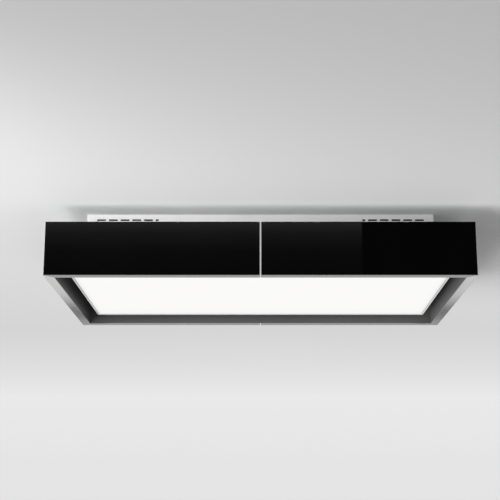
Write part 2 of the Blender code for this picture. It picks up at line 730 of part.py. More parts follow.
def filter_plate():
    """Plate above the light panel: an opening, a keeper and a hook for each grease filter."""
    half_x = HALF_LENGTH - RIM_WIDTH + SHEET
    half_y = HALF_DEPTH - RIM_WIDTH + SHEET
    sheet = block((-half_x, half_x), (-half_y, half_y), (FILTER_PLATE_BOTTOM, FILTER_PLATE_TOP))
    plate = add_object("filter_plate", sheet, "black_paint")
    overlap = FILTER_PLATE_BOTTOM + SHEET / 2
    keeper_front = -GREASE_DEPTH / 2 - KEEPER_GAP
    hook_back = GREASE_DEPTH / 2 + KEEPER_GAP
    for side, x in grease_centres():
        open_x = GREASE_LENGTH / 2 - GREASE_SEAT
        open_y = GREASE_DEPTH / 2 - GREASE_SEAT
        through = (FILTER_PLATE_BOTTOM - OVERCUT, FILTER_PLATE_TOP + OVERCUT)
        opening = block((x - open_x, x + open_x), (-open_y, open_y), through)
        cut(plate, add_tool(f"filter_opening_{side}", opening))
        keeper = block(
            (x - KEEPER_WIDTH / 2, x + KEEPER_WIDTH / 2),
            (keeper_front - SHEET, keeper_front),
            (FILTER_PLATE_BOTTOM - KEEPER_HEIGHT, overlap),
        )
        join(plate, add_tool(f"filter_keeper_{side}", keeper))
        half_tongue = LATCH_TONGUE_WIDTH / 2 + RUNNING_GAP
        slot = block(
            (x - half_tongue, x + half_tongue),
            (keeper_front - SHEET - OVERCUT, keeper_front + OVERCUT),
            (LATCH_TOP - LATCH_THICKNESS - RUNNING_GAP, LATCH_TOP + RUNNING_GAP),
        )
        cut(plate, add_tool(f"keeper_slot_{side}", slot))
        foot_top = GREASE_BOTTOM - GAP
        hook = bmesh.new()
        section = [
            (hook_back, overlap),
            (hook_back, foot_top - SHEET),
            (GREASE_DEPTH / 2 - HOOK_REACH, foot_top - SHEET),
            (GREASE_DEPTH / 2 - HOOK_REACH, foot_top),
            (hook_back - SHEET, foot_top),
            (hook_back - SHEET, overlap),
        ]
        prism(hook, section, "X", (x - HOOK_WIDTH / 2, x + HOOK_WIDTH / 2))
        join(plate, add_tool(f"filter_hook_{side}", hook))


def grease_filters():
    """Framed metal filters under the plate openings, recessed on both faces."""
    half_x = GREASE_LENGTH / 2
    half_y = GREASE_DEPTH / 2
    for side, x in grease_centres():
        shape = block((-half_x, half_x), (-half_y, half_y), (GREASE_BOTTOM, GREASE_TOP))
        cassette = add_object(f"grease_filter_{side}", shape, "aluminium", (x, 0.0, 0.0))
        pockets = bmesh.new()
        reach_x = (GREASE_FRAME - half_x, half_x - GREASE_FRAME)
        reach_y = (GREASE_FRAME - half_y, half_y - GREASE_FRAME)
        add_block(pockets, reach_x, reach_y, (GREASE_TOP - GREASE_POCKET, GREASE_TOP + OVERCUT))
        add_block(pockets, reach_x, reach_y, (GREASE_BOTTOM - OVERCUT, GREASE_BOTTOM + GREASE_POCKET))
        cut(cassette, add_tool(f"grease_pockets_{side}", pockets, (x, 0.0, 0.0)))


def filter_latches():
    """Sprung sliders on the front edge of each grease filter; they slide back to let it drop."""
    bottom = LATCH_TOP - LATCH_THICKNESS
    front = -GREASE_DEPTH / 2
    for side, x in grease_centres():
        shape = bmesh.new()
        half = LATCH_WIDTH / 2
        tongue = LATCH_TONGUE_WIDTH / 2
        outline = [
            (-tongue, -LATCH_TONGUE_LENGTH),
            (tongue, -LATCH_TONGUE_LENGTH),
            (tongue, 0.0),
            (half, 0.0),
            (half, LATCH_LENGTH),
            (-half, LATCH_LENGTH),
            (-half, 0.0),
            (-tongue, 0.0),
        ]
        prism(shape, outline, "Z", (bottom, LATCH_TOP))
        latch = add_object(f"filter_latch_{side}", shape, "black_plastic", (x, front, 0.0))
        grip = block(
            (-half / 2, half / 2),
            (LATCH_LENGTH - 2 * LATCH_GRIP_DEPTH, LATCH_LENGTH - LATCH_GRIP_DEPTH),
            (bottom - LATCH_GRIP_HEIGHT, bottom + LATCH_THICKNESS / 2),
        )
        join(latch, add_tool(f"latch_grip_{side}", grip, (x, front, 0.0)))


def spiral_outline(wall, past_outlet):
    """Outline of the scroll, moved in by wall, with its outlet pushed on by past_outlet."""
    points = []
    for step in range(SPIRAL_STEPS + 1):
        part = step / SPIRAL_STEPS
        angle = math.radians(TONGUE_DEGREES + (OUTLET_DEGREES - TONGUE_DEGREES) * part)
        radius = SCROLL_START + SCROLL_GROWTH * part - wall
        points.append((BLOWER_X + radius * math.cos(angle), BLOWER_Y + radius * math.sin(angle)))
    end = OUTLET_X + past_outlet
    points.append((end, BLOWER_Y - SCROLL_END + wall))
    points.append((end, BLOWER_Y - TONGUE_DROP - wall))
    return points


def scroll():
    """Blower casing in two pieces: a tray with the spiral wall and inlet, and a lid with bosses."""
    shape = bmesh.new()
    prism(shape, spiral_outline(0.0, 0.0), "Z", (SCROLL_BOTTOM, CASING_TOP))
    casing = add_object("scroll_casing", shape, "galvanised")
    hollow = bmesh.new()
    prism(hollow, spiral_outline(SHEET, OVERCUT), "Z", (SCROLL_BOTTOM + SHEET, CASING_TOP + OVERCUT))
    cut(casing, add_tool("scroll_hollow", hollow))
    centre = (BLOWER_X, BLOWER_Y)
    inlet = bmesh.new()
    reach = (SCROLL_BOTTOM - OVERCUT, SCROLL_BOTTOM + SHEET + OVERCUT)
    prism(inlet, disc(INLET_RADIUS, ROUND_SEGMENTS, centre), "Z", reach)
    cut(casing, add_tool("scroll_inlet", inlet))
    lid_shape = bmesh.new()
    prism(lid_shape, spiral_outline(0.0, 0.0), "Z", (CASING_TOP + GAP, SCROLL_TOP))
    lid = add_object("scroll_lid", lid_shape, "galvanised")
    bosses = bmesh.new()
    for degrees in MOUNT_ANGLES:
        x = BLOWER_X + MOUNT_CIRCLE * math.cos(math.radians(degrees))
        y = BLOWER_Y + MOUNT_CIRCLE * math.sin(math.radians(degrees))
        boss = disc(MOUNT_RADIUS, SMALL_SEGMENTS, (x, y))
        prism(bosses, boss, "Z", (SCROLL_TOP - SHEET / 2, COVER_UNDERSIDE - GAP))
    join(lid, add_tool("lid_bosses", bosses))
    seat = bmesh.new()
    reach = (CASING_TOP - OVERCUT, SCROLL_TOP + OVERCUT)
    prism(seat, disc(MOTOR_RADIUS + MOTOR_CLEARANCE, ROUND_SEGMENTS, centre), "Z", reach)
    cut(lid, add_tool("motor_seat", seat))


def motor():
    """Motor that hangs inside the impeller from a round plate on top of the scroll."""
    top = SCROLL_TOP
    profile = [
        (0.0, top),
        (MOTOR_RADIUS, top),
        (MOTOR_RADIUS, MOTOR_BOTTOM),
        (SHAFT_RADIUS, MOTOR_BOTTOM),
        (SHAFT_RADIUS, MOTOR_BOTTOM - SHAFT_LENGTH),
        (0.0, MOTOR_BOTTOM - SHAFT_LENGTH),
    ]
    shape = bmesh.new()
    turn(shape, profile, ROUND_SEGMENTS)
    add_object("motor", shape, "aluminium", (BLOWER_X, BLOWER_Y, 0.0), smooth=True)
    plate = bmesh.new()
    reach = (SCROLL_TOP + GAP, SCROLL_TOP + GAP + PLATE_THICKNESS)
    prism(plate, disc(MOTOR_PLATE_RADIUS, ROUND_SEGMENTS), "Z", reach)
    add_object("motor_plate", plate, "zinc_plate", (BLOWER_X, BLOWER_Y, 0.0), smooth=True)


def impeller():
    """Drum wheel: a cup round the motor, a back plate, blades and a ring at the inlet."""
    cup = MOTOR_RADIUS + MOTOR_CLEARANCE
    bore = SHAFT_RADIUS + RUNNING_GAP
    floor = MOTOR_BOTTOM - MOTOR_CLEARANCE
    profile = [
        (bore, floor - BOSS_LENGTH),
        (BOSS_RADIUS, floor - BOSS_LENGTH),
        (BOSS_RADIUS, floor - SHEET),
        (cup + SHEET, floor - SHEET),
        (cup + SHEET, IMPELLER_TOP - SHEET),
        (IMPELLER_RADIUS, IMPELLER_TOP - SHEET),
        (IMPELLER_RADIUS, IMPELLER_TOP),
        (cup, IMPELLER_TOP),
        (cup, floor),
        (bore, floor),
    ]
    at = (BLOWER_X, BLOWER_Y, 0.0)
    shape = bmesh.new()
    turn(shape, profile, ROUND_SEGMENTS)
    wheel = add_object("impeller", shape, "black_plastic", at, smooth=True)
    ring = bmesh.new()
    inner = IMPELLER_RADIUS - BLADE_LENGTH
    outer_points = disc(IMPELLER_RADIUS, ROUND_SEGMENTS)
    frame(ring, outer_points, disc(inner, ROUND_SEGMENTS), (IMPELLER_BOTTOM, IMPELLER_BOTTOM + RING_HEIGHT))
    blades = bmesh.new()
    for i in range(BLADE_COUNT):
        around = math.tau * i / BLADE_COUNT
        lean = around + math.radians(BLADE_DEGREES)
        middle = IMPELLER_RADIUS - BLADE_LENGTH / 2
        half = BLADE_LENGTH / 2 - SHEET
        outline = []
        for along, across in ((-half, -1), (half, -1), (half, 1), (-half, 1)):
            x = middle * math.cos(around) + along * math.cos(lean) - across * SHEET / 2 * math.sin(lean)
            y = middle * math.sin(around) + along * math.sin(lean) + across * SHEET / 2 * math.cos(lean)
            outline.append((x, y))
        prism(blades, outline, "Z", (IMPELLER_BOTTOM + RING_HEIGHT / 2, IMPELLER_TOP - SHEET / 2))
    join(wheel, add_tool("impeller_blades", blades, at))
    join(wheel, add_tool("impeller_ring", ring, at))


def capacitor():
    """Run capacitor lying under the cover beside the elbow."""
    shape = bmesh.new()
    z = COVER_UNDERSIDE - GAP - CAPACITOR_RADIUS
    points = disc(CAPACITOR_RADIUS, ROUND_SEGMENTS, (CAPACITOR_Y, z))
    prism(shape, points, "X", (CAPACITOR_X, CAPACITOR_X + CAPACITOR_LENGTH))
    add_object("capacitor", shape, "aluminium", smooth=True)


def flap_frame():
    """Collar at the scroll outlet that the non-return flaps close."""
    reach_x = (FLAP_FRAME_START, FLAP_FRAME_END)
    half = OUTLET_HALF_WIDTH
    collar = block(reach_x, (-half, half), (SCROLL_BOTTOM, CASING_TOP))
    node = add_object("flap_frame", collar, "black_plastic")
    hollow = block(
        (reach_x[0] - OVERCUT, reach_x[1] + OVERCUT),
        (STRONG_SHEET - half, half - STRONG_SHEET),
        (SCROLL_BOTTOM + STRONG_SHEET, CASING_TOP - STRONG_SHEET),
    )
    cut(node, add_tool("flap_frame_hollow", hollow))


def flaps():
    """Two light flaps on upright pins; the air pushes them open and springs close them."""
    bottom = SCROLL_BOTTOM + STRONG_SHEET + FLAP_EDGE_CLEARANCE
    top = CASING_TOP - STRONG_SHEET - FLAP_EDGE_CLEARANCE
    reach = OUTLET_HALF_WIDTH - STRONG_SHEET - FLAP_EDGE_CLEARANCE - FLAP_AXIS_Y
    for side, name in ((-1, "flap_front"), (1, "flap_back")):
        at = (FLAP_AXIS_X, side * FLAP_AXIS_Y, 0.0)
        shape = bmesh.new()
        prism(shape, disc(FLAP_BARREL, SMALL_SEGMENTS), "Z", (bottom, top))
        node = add_object(name, shape, "white_plastic", at, smooth=True)
        half = FLAP_THICKNESS / 2
        blade = block((-half, half), sorted((0.0, side * reach)), (bottom, top))
        join(node, add_tool(name + "_blade", blade, at))


def elbow_outline(wall, past):
    """Side view of the elbow, moved in by wall and pushed past both mouths by past."""
    left = ELBOW_START - past
    right = ELBOW_END - wall
    bottom = SCROLL_BOTTOM + wall
    top = HOUSING_BOTTOM + DIVERTER_CLEARANCE + SHEET + past
    throat_x = ELBOW_START + ELBOW_THROAT + wall
    throat_z = CASING_TOP - wall
    radius = min(ELBOW_BEND_RADIUS, (right - throat_x) / 2, (COVER_UNDERSIDE - bottom) - wall)
    points = [(left, throat_z), (left, bottom)]
    for step in range(ELBOW_BEND_STEPS + 1):
        angle = math.pi / 2 * step / ELBOW_BEND_STEPS
        x = right - radius + radius * math.sin(angle)
        z = bottom + radius - radius * math.cos(angle)
        points.append((x, z))
    points += [(right, top), (throat_x, top), (throat_x, throat_z)]
    return points


def outlet_elbow():
    """Duct that turns the air up through the cover into the diverter."""
    half = OUTLET_HALF_WIDTH
    shape = bmesh.new()
    prism(shape, elbow_outline(0.0, 0.0), "Y", (-half, half))
    node = add_object("outlet_elbow", shape, "galvanised")
    hollow = bmesh.new()
    prism(hollow, elbow_outline(SHEET, OVERCUT), "Y", (SHEET - half, half - SHEET))
    cut(node, add_tool("elbow_hollow", hollow))


def control_box():
    """Tray of the control electronics under the cover, closed by a lid below."""
    top = COVER_UNDERSIDE - GAP
    bottom = top - BOX_HEIGHT
    x = (BOX_X, BOX_X + BOX_LENGTH)
    y = (BOX_Y - BOX_DEPTH / 2, BOX_Y + BOX_DEPTH / 2)
    box = add_object("control_box", block(x, y, (bottom, top)), "galvanised")
    hollow = block(
        (x[0] + SHEET, x[1] - SHEET),
        (y[0] + SHEET, y[1] - SHEET),
        (bottom - OVERCUT, top - SHEET),
    )
    cut(box, add_tool("control_box_hollow", hollow))
    lid = block(
        (x[0] - LID_OVERHANG, x[1] + LID_OVERHANG),
        (y[0] - LID_OVERHANG, y[1] + LID_OVERHANG),
        (bottom - GAP - LID_THICKNESS, bottom - GAP),
    )
    add_object("control_box_lid", lid, "zinc_plate")


def led_driver():
    """Power supply of the light, with a foot at each end."""
    top = COVER_UNDERSIDE - GAP
    x = (BOX_X, BOX_X + DRIVER_LENGTH)
    y = (DRIVER_Y - DRIVER_DEPTH / 2, DRIVER_Y + DRIVER_DEPTH / 2)
    node = add_object("led_driver", block(x, y, (top - DRIVER_HEIGHT, top)), "white_plastic")
    feet = bmesh.new()
    foot_x = (x[0] - DRIVER_FOOT, x[1] + DRIVER_FOOT)
    add_block(feet, foot_x, y, (top - DRIVER_FOOT_THICKNESS, top))
    join(node, add_tool("driver_feet", feet))


def terminal_block():
    """Mains terminals just below the cable hole."""
    top = COVER_UNDERSIDE - GAP
    x = (CABLE_X - TERMINAL_LENGTH / 2, CABLE_X + TERMINAL_LENGTH / 2)
    half = TERMINAL_DEPTH / 2
    section = [
        (-half, top),
        (-half, top - TERMINAL_HEIGHT + TERMINAL_STEP),
        (TERMINAL_STEP - half, top - TERMINAL_HEIGHT + TERMINAL_STEP),
        (TERMINAL_STEP - half, top - TERMINAL_HEIGHT),
        (half - TERMINAL_STEP, top - TERMINAL_HEIGHT),
        (half - TERMINAL_STEP, top - TERMINAL_HEIGHT + TERMINAL_STEP),
        (half, top - TERMINAL_HEIGHT + TERMINAL_STEP),
        (half, top),
    ]
    shape = bmesh.new()
    prism(shape, section, "X", x)
    add_object("terminal_block", shape, "white_plastic", (0.0, CABLE_Y, 0.0))


def panel_tray(axis):
    """Folded tray that carries the light, open below."""
    inset = SHEET + GAP
    half_x = PANEL_HALF_LENGTH - inset
    half_y = PANEL_HALF_DEPTH - inset
    corner = PANEL_CORNER - inset
    shape = bmesh.new()
    outer = rounded_rectangle(PANEL_HALF_LENGTH, PANEL_HALF_DEPTH, PANEL_CORNER)
    prism(shape, outer, "Z", (PANEL_TOP - SHEET, PANEL_TOP))
    tray = add_object("panel_tray", shape, "white_paint")
    wall = bmesh.new()
    bottom = PANEL_BOTTOM + SHEET + GAP + DIFFUSER_THICKNESS + GAP
    outline = rounded_rectangle(half_x, half_y, corner)
    inner = rounded_rectangle(half_x - SHEET, half_y - SHEET, corner - SHEET)
    frame(wall, outline, inner, (bottom, PANEL_TOP - SHEET / 2))
    skirt = add_tool("tray_wall", wall)
    join(tray, skirt)
    ride_on(skirt, axis)
    ride_on(tray, axis)


def panel_trim(axis):
    """Bright frame round the light: a side wall and a narrow lip under the diffuser."""
    outer = rounded_rectangle(PANEL_HALF_LENGTH, PANEL_HALF_DEPTH, PANEL_CORNER)
    side = rounded_rectangle(
        PANEL_HALF_LENGTH - SHEET, PANEL_HALF_DEPTH - SHEET, PANEL_CORNER - SHEET
    )
    lip = rounded_rectangle(
        PANEL_HALF_LENGTH - TRIM_FACE, PANEL_HALF_DEPTH - TRIM_FACE, PANEL_CORNER - TRIM_FACE
    )
    shape = bmesh.new()
    frame(shape, outer, side, (PANEL_BOTTOM, PANEL_TOP - SHEET - GAP))
    trim = add_object("panel_trim", shape, "bright_trim")
    foot = bmesh.new()
    frame(foot, outer, lip, (PANEL_BOTTOM, PANEL_BOTTOM + SHEET))
    tool = add_tool("trim_lip", foot)
    join(trim, tool)
    ride_on(tool, axis)
    ride_on(trim, axis)


def diffuser(axis):
    inset = SHEET + GAP
    outline = rounded_rectangle(
        PANEL_HALF_LENGTH - inset, PANEL_HALF_DEPTH - inset, PANEL_CORNER - inset
    )
    shape = bmesh.new()
    bottom = PANEL_BOTTOM + SHEET + GAP
    prism(shape, outline, "Z", (bottom, bottom + DIFFUSER_THICKNESS))
    ride_on(add_object("diffuser", shape, "opal_acrylic"), axis)


def led_strips(axis):
    half_x = PANEL_HALF_LENGTH - LED_STRIP_END_INSET
    half_y = LED_STRIP_WIDTH / 2
    top = PANEL_TOP - SHEET - GAP
    for side, name in ((-1, "led_strip_front"), (1, "led_strip_back")):
        shape = block((-half_x, half_x), (-half_y, half_y), (top - LED_STRIP_THICKNESS, top))
        strip = add_object(name, shape, "white_plastic", (0.0, side * LED_STRIP_Y, 0.0))
        ride_on(strip, axis)


def hinge_leaves(axis):
    """Leaf on the tray, folded up into a knuckle round its pin, on the axis of the light panel."""
    plate_bottom = PANEL_TOP + GAP - PIVOT_Z
    plate_top = plate_bottom + STRONG_SHEET
    outline = [(-LEAF_DEPTH, plate_top), (-LEAF_DEPTH, plate_bottom), (LEAF_BACK, plate_bottom)]
    outline += [(LEAF_BACK, plate_top), (KNUCKLE_RADIUS / 2, plate_top)]
    for step in range(KNUCKLE_STEPS + 1):
        angle = math.radians(KNUCKLE_START + (180.0 - 2 * KNUCKLE_START) * step / KNUCKLE_STEPS)
        outline.append((KNUCKLE_RADIUS * math.cos(angle), KNUCKLE_RADIUS * math.sin(angle)))
    outline.append((-KNUCKLE_RADIUS / 2, plate_top))
    half = KNUCKLE_LENGTH / 2
    reach = half + GAP + EAR_THICKNESS + GAP
    for side, name in ((-1, "hinge_leaf_left"), (1, "hinge_leaf_right")):
        at = (side * HINGE_X, PIVOT_Y, PIVOT_Z)
        shape = bmesh.new()
        prism(shape, outline, "X", (-half, half))
        leaf = add_object(name, shape, "zinc_plate", at)
        pin = bmesh.new()
        prism(pin, disc(PIN_RADIUS, SMALL_SEGMENTS), "X", (-reach, reach))
        tool = add_tool(name + "_pin", pin, at)
        join(leaf, tool)
        ride_on(tool, axis)
        ride_on(leaf, axis)


def hinge_brackets():
    """Bracket under the filter plate with two ears that hold the hinge pin."""
    top = FILTER_PLATE_BOTTOM - GAP - PIVOT_Z
    for side, name in ((-1, "hinge_bracket_left"), (1, "hinge_bracket_right")):
        at = (side * HINGE_X, PIVOT_Y, PIVOT_Z)
        inside = KNUCKLE_LENGTH / 2 + RUNNING_GAP
        outside = inside + EAR_THICKNESS
        base = block(
            (-outside, outside), (-BRACKET_DEPTH / 2, BRACKET_DEPTH / 2), (top - STRONG_SHEET, top)
        )
        bracket = add_object(name, base, "zinc_plate", at)
        for ear_side in (-1, 1):
            reach_x = sorted((ear_side * inside, ear_side * outside))
            outline = [(EAR_RADIUS, top - STRONG_SHEET / 2), (-EAR_RADIUS, top - STRONG_SHEET / 2)]
            for step in range(SMALL_SEGMENTS // 2 + 1):
                angle = math.pi + math.tau * step / SMALL_SEGMENTS
                outline.append((EAR_RADIUS * math.cos(angle), EAR_RADIUS * math.sin(angle)))
            ear = bmesh.new()
            prism(ear, outline, "X", reach_x)
            join(bracket, add_tool(f"{name}_ear", ear, at))
        hole = bmesh.new()
        reach = outside + OVERCUT
        prism(hole, disc(PIN_RADIUS + RUNNING_GAP, SMALL_SEGMENTS), "X", (-reach, reach))
        cut(bracket, add_tool(f"{name}_pin_hole", hole, at))


def magnet_catches(axis):
    """Magnets under the filter plate and the steel plates that they hold the panel by."""
    y = -PANEL_HALF_DEPTH + CATCH_INSET
    strike_top = PANEL_TOP + GAP + STRONG_SHEET
    magnet = (strike_top + GAP, FILTER_PLATE_BOTTOM - GAP)
    for side, name in ((-1, "left"), (1, "right")):
        at = (side * CATCH_X, y, 0.0)
        half_x = CATCH_LENGTH / 2
        half_y = CATCH_DEPTH / 2
        shape = block((-half_x, half_x), (-half_y, half_y), magnet)
        add_object("magnet_catch_" + name, shape, "black_plastic", at)
        half_x = STRIKE_LENGTH / 2
        half_y = STRIKE_DEPTH / 2
        shape = block((-half_x, half_x), (-half_y, half_y), (PANEL_TOP + GAP, strike_top))
        ride_on(add_object("strike_plate_" + name, shape, "zinc_plate", at), axis)


def light_panel():
    """Everything that swings down about the axis at the back of the panel."""
    axis = add_axis("light_panel_axis", (0.0, PIVOT_Y, PIVOT_Z))
    panel_tray(axis)
    panel_trim(axis)
    diffuser(axis)
    led_strips(axis)
    hinge_leaves(axis)
    magnet_catches(axis)


def build():
    clear_scene()
    ceiling_plate()
    cable_grommet()
    hangers()
    upper_housing()
    housing_screws()
    carbon_filters()
    diverter_duct()
    top_cover()
    glass_panels()
    rails()
    dividers()
    inner_liner()
    filter_plate()
    grease_filters()
    filter_latches()
    scroll()
    motor()
    impeller()
    capacitor()
    flap_frame()
    flaps()
    outlet_elbow()
    control_box()
    led_driver()
    terminal_block()
    hinge_brackets()
    light_panel()


build()
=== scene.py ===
import json
import math
from functools import partialmethod

import bmesh
import bpy
from mathutils import Matrix, Vector

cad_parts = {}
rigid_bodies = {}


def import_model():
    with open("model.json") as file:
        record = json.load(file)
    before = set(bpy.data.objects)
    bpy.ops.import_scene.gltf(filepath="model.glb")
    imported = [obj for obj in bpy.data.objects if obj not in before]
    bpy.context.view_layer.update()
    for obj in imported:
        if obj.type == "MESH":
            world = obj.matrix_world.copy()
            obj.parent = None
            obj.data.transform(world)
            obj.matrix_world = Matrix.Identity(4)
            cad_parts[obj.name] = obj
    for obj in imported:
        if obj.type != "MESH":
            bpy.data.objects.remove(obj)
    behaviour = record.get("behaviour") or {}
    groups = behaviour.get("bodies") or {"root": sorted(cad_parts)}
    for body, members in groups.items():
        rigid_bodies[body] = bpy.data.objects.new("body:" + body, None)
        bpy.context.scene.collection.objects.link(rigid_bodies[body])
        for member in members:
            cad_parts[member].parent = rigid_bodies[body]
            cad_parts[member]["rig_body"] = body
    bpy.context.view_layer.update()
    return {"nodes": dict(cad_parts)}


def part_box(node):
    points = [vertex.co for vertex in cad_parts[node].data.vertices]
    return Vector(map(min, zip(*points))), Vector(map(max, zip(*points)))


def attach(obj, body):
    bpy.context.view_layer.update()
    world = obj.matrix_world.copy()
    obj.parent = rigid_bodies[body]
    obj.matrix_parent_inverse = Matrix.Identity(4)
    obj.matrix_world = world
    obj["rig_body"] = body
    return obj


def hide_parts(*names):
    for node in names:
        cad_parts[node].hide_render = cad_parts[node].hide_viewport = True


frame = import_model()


# The ceiling plate. A folded sheet of galvanised steel, screwed up through four keyholes.
# It carries everything else, and its turned-down ends take the screws of the housing.
# The zinc has set in large crystals, so the sheet is patched light and dark.
class Wire:
    """An output of a node that can be added, multiplied and compared like a number."""

    def __init__(self, tree, socket):
        self.tree = tree
        self.socket = socket

    def reckon(self, operation, *others):
        node = self.tree.nodes.new("ShaderNodeMath")
        node.operation = operation
        for slot, term in zip(node.inputs, (self, *others)):
            if isinstance(term, Wire):
                self.tree.links.new(term.socket, slot)
            else:
                slot.default_value = term
        return Wire(self.tree, node.outputs[0])

    __add__ = __radd__ = partialmethod(reckon, "ADD")
    __mul__ = __rmul__ = partialmethod(reckon, "MULTIPLY")
    __sub__ = partialmethod(reckon, "SUBTRACT")
    __truediv__ = partialmethod(reckon, "DIVIDE")
    __gt__ = partialmethod(reckon, "GREATER_THAN")
    __abs__ = partialmethod(reckon, "ABSOLUTE")
    at_most = partialmethod(reckon, "MINIMUM")

    def __rsub__(self, other):
        return self.reckon("MULTIPLY_ADD", -1.0, other)

    def between(self, low, high):
        """Zero at low, one at high, straight between them and flat beyond."""
        share = (self - low) / (high - low)
        share.socket.node.use_clamp = True
        return share


class Tree:
    """A node tree that is wired call by call."""

    def __init__(self, tree):
        self.tree = tree

    def node(self, kind, sockets=None, output=0, **settings):
        """Adds a node with the values or wires of its sockets and with its own settings."""
        node = self.tree.nodes.new(kind)
        for key, value in settings.items():
            if key == "stops":
                ramp = node.color_ramp
                while len(ramp.elements) < len(value):
                    ramp.elements.new(1.0)
                for element, (place, colour) in zip(ramp.elements, value):
                    element.position = place
                    element.color = (*colour, 1.0)
            else:
                setattr(node, key, value)
        for key, value in (sockets or {}).items():
            if isinstance(value, Wire):
                self.tree.links.new(value.socket, node.inputs[key])
            else:
                node.inputs[key].default_value = value
        return Wire(self.tree, node.outputs[output])


class Finish(Tree):
    """A material: fixed values on its shader's own sockets, and wires for what varies."""

    def __init__(self, name, **fixed):
        self.material = bpy.data.materials.new(name)
        self.material.use_nodes = True
        super().__init__(self.material.node_tree)
        self.shader = self.tree.nodes["Principled BSDF"]
        for key, value in fixed.items():
            self.shader.inputs[key.replace("_", " ")].default_value = value

    def place(self, scale=(1.0, 1.0, 1.0), turned=(0.0, 0.0, 0.0), moved=(0.0, 0.0, 0.0)):
        where = self.node("ShaderNodeTexCoord", output="Object")
        sockets = {"Vector": where, "Location": moved, "Rotation": turned, "Scale": scale}
        return self.node("ShaderNodeMapping", sockets)

    def cloud(self, where, scale, detail=2.0):
        return self.node("ShaderNodeTexNoise", {"Vector": where, "Scale": scale, "Detail": detail})

    def cells(self, where, scale, feature="F1", output="Distance"):
        sockets = {"Vector": where, "Scale": scale}
        return self.node("ShaderNodeTexVoronoi", sockets, output, feature=feature)

    def ramp(self, factor, *stops):
        return self.node("ShaderNodeValToRGB", {0: factor}, stops=stops)

    def over(self, factor, first, second):
        """One colour laid over another."""
        return self.node("ShaderNodeMix", {0: factor, 6: first, 7: second}, 2, data_type="RGBA")

    def part(self, vector, axis):
        return self.node("ShaderNodeSeparateXYZ", {0: vector}, "XYZ".index(axis))

    def vary(self, socket, wire):
        self.tree.links.new(wire.socket, self.shader.inputs[socket])

    def relief(self, height, depth):
        sockets = {"Height": height, "Distance": depth, "Strength": 1.0}
        self.vary("Normal", self.node("ShaderNodeBump", sockets))


def galvanised_finish():
    zinc = Finish("galvanised_sheet", Metallic=0.85, Specular_IOR_Level=0.5)
    where = zinc.place()
    crystal = zinc.cells(where, 75.0, output="Color")
    tone = zinc.part(crystal, "X")
    shine = zinc.part(crystal, "Y")
    needles = zinc.cloud(zinc.place((400.0, 60.0, 200.0), (0.3, 0.2, 0.7)), 1.0, 3.0)
    dust = zinc.cloud(where, 9.0, 4.0)
    colour = zinc.ramp(
        tone * 0.7 + needles * 0.3, (0.0, (0.42, 0.44, 0.46)), (0.5, (0.55, 0.57, 0.58)),
        (1.0, (0.72, 0.73, 0.74)),
    )
    zinc.vary("Base Color", zinc.over(dust.between(0.5, 0.9) * 0.5, colour, (0.36, 0.35, 0.33, 1.0)))
    zinc.vary("Roughness", 0.34 + shine * 0.18 + dust * 0.12)
    edges = zinc.cells(where, 75.0, "DISTANCE_TO_EDGE").at_most(0.05)
    zinc.relief(edges * 8.0 + needles * 0.6, 0.00004)
    return zinc.material


galvanised = galvanised_finish()

MERGED = 0.00001
FLAT = math.radians(0.6)


def clean_copy(node, name):
    """A piece with the shape of a CAD node, its points joined and its flat faces whole."""
    source = frame["nodes"][node].data
    mesh = bpy.data.meshes.new(name)
    mesh.from_pydata([v.co for v in source.vertices], [], [list(p.vertices) for p in source.polygons])
    shape = bmesh.new()
    shape.from_mesh(mesh)
    bmesh.ops.remove_doubles(shape, verts=shape.verts, dist=MERGED)
    bmesh.ops.dissolve_limit(shape, angle_limit=FLAT, verts=shape.verts, edges=shape.edges)
    shape.to_mesh(mesh)
    shape.free()
    return shown(name, mesh)


def shown(name, mesh):
    piece = bpy.data.objects.new(name, mesh)
    bpy.context.scene.collection.objects.link(piece)
    return piece


def made(name, shape):
    """A piece from mesh data, with its faces turned outwards."""
    bmesh.ops.recalc_face_normals(shape, faces=shape.faces)
    mesh = bpy.data.meshes.new(name)
    shape.to_mesh(mesh)
    shape.free()
    return shown(name, mesh)


def settle(piece):
    """Turns what the modifiers of a piece make into its plain mesh."""
    graph = bpy.context.evaluated_depsgraph_get()
    mesh = bpy.data.meshes.new_from_object(piece.evaluated_get(graph), depsgraph=graph)
    piece.modifiers.clear()
    piece.data = mesh
    return piece


def ease(piece, width, steps=2, sharper_than=30.0):
    """Rounds the edges of a piece as folding, moulding or grinding leaves them."""
    piece.data.polygons.foreach_set("use_smooth", [True] * len(piece.data.polygons))
    bevel = piece.modifiers.new("eased", "BEVEL")
    bevel.width = width
    bevel.segments = steps
    bevel.limit_method = "ANGLE"
    bevel.angle_limit = math.radians(sharper_than)
    bevel.harden_normals = True
    bevel.miter_outer = "MITER_ARC"
    return settle(piece)


def smooth(piece, sharper_than=32.0):
    """Shades a piece as round, with creases where its faces meet more sharply."""
    piece.data.polygons.foreach_set("use_smooth", [True] * len(piece.data.polygons))
    piece.data.set_sharp_from_angle(angle=math.radians(sharper_than))
    return piece


def fit(piece, finish, like, stands_for=()):
    """Gives a piece its finish and fixes it to the body that a CAD node belongs to."""
    piece.data.materials.clear()
    piece.data.materials.append(finish)
    for face in piece.data.polygons:
        face.material_index = 0
    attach(piece, frame["nodes"][like]["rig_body"])
    if stands_for:
        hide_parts(*stands_for)
    return piece


def dress(node, finish, edge, steps=2):
    """A CAD shape with its edges eased and its finish on, under its own name."""
    piece = ease(clean_copy(node, node + "_piece"), edge, steps)
    return fit(piece, finish, node, (node,))


FOLDED_EDGE = 0.0004
dress("ceiling_plate", galvanised, FOLDED_EDGE)


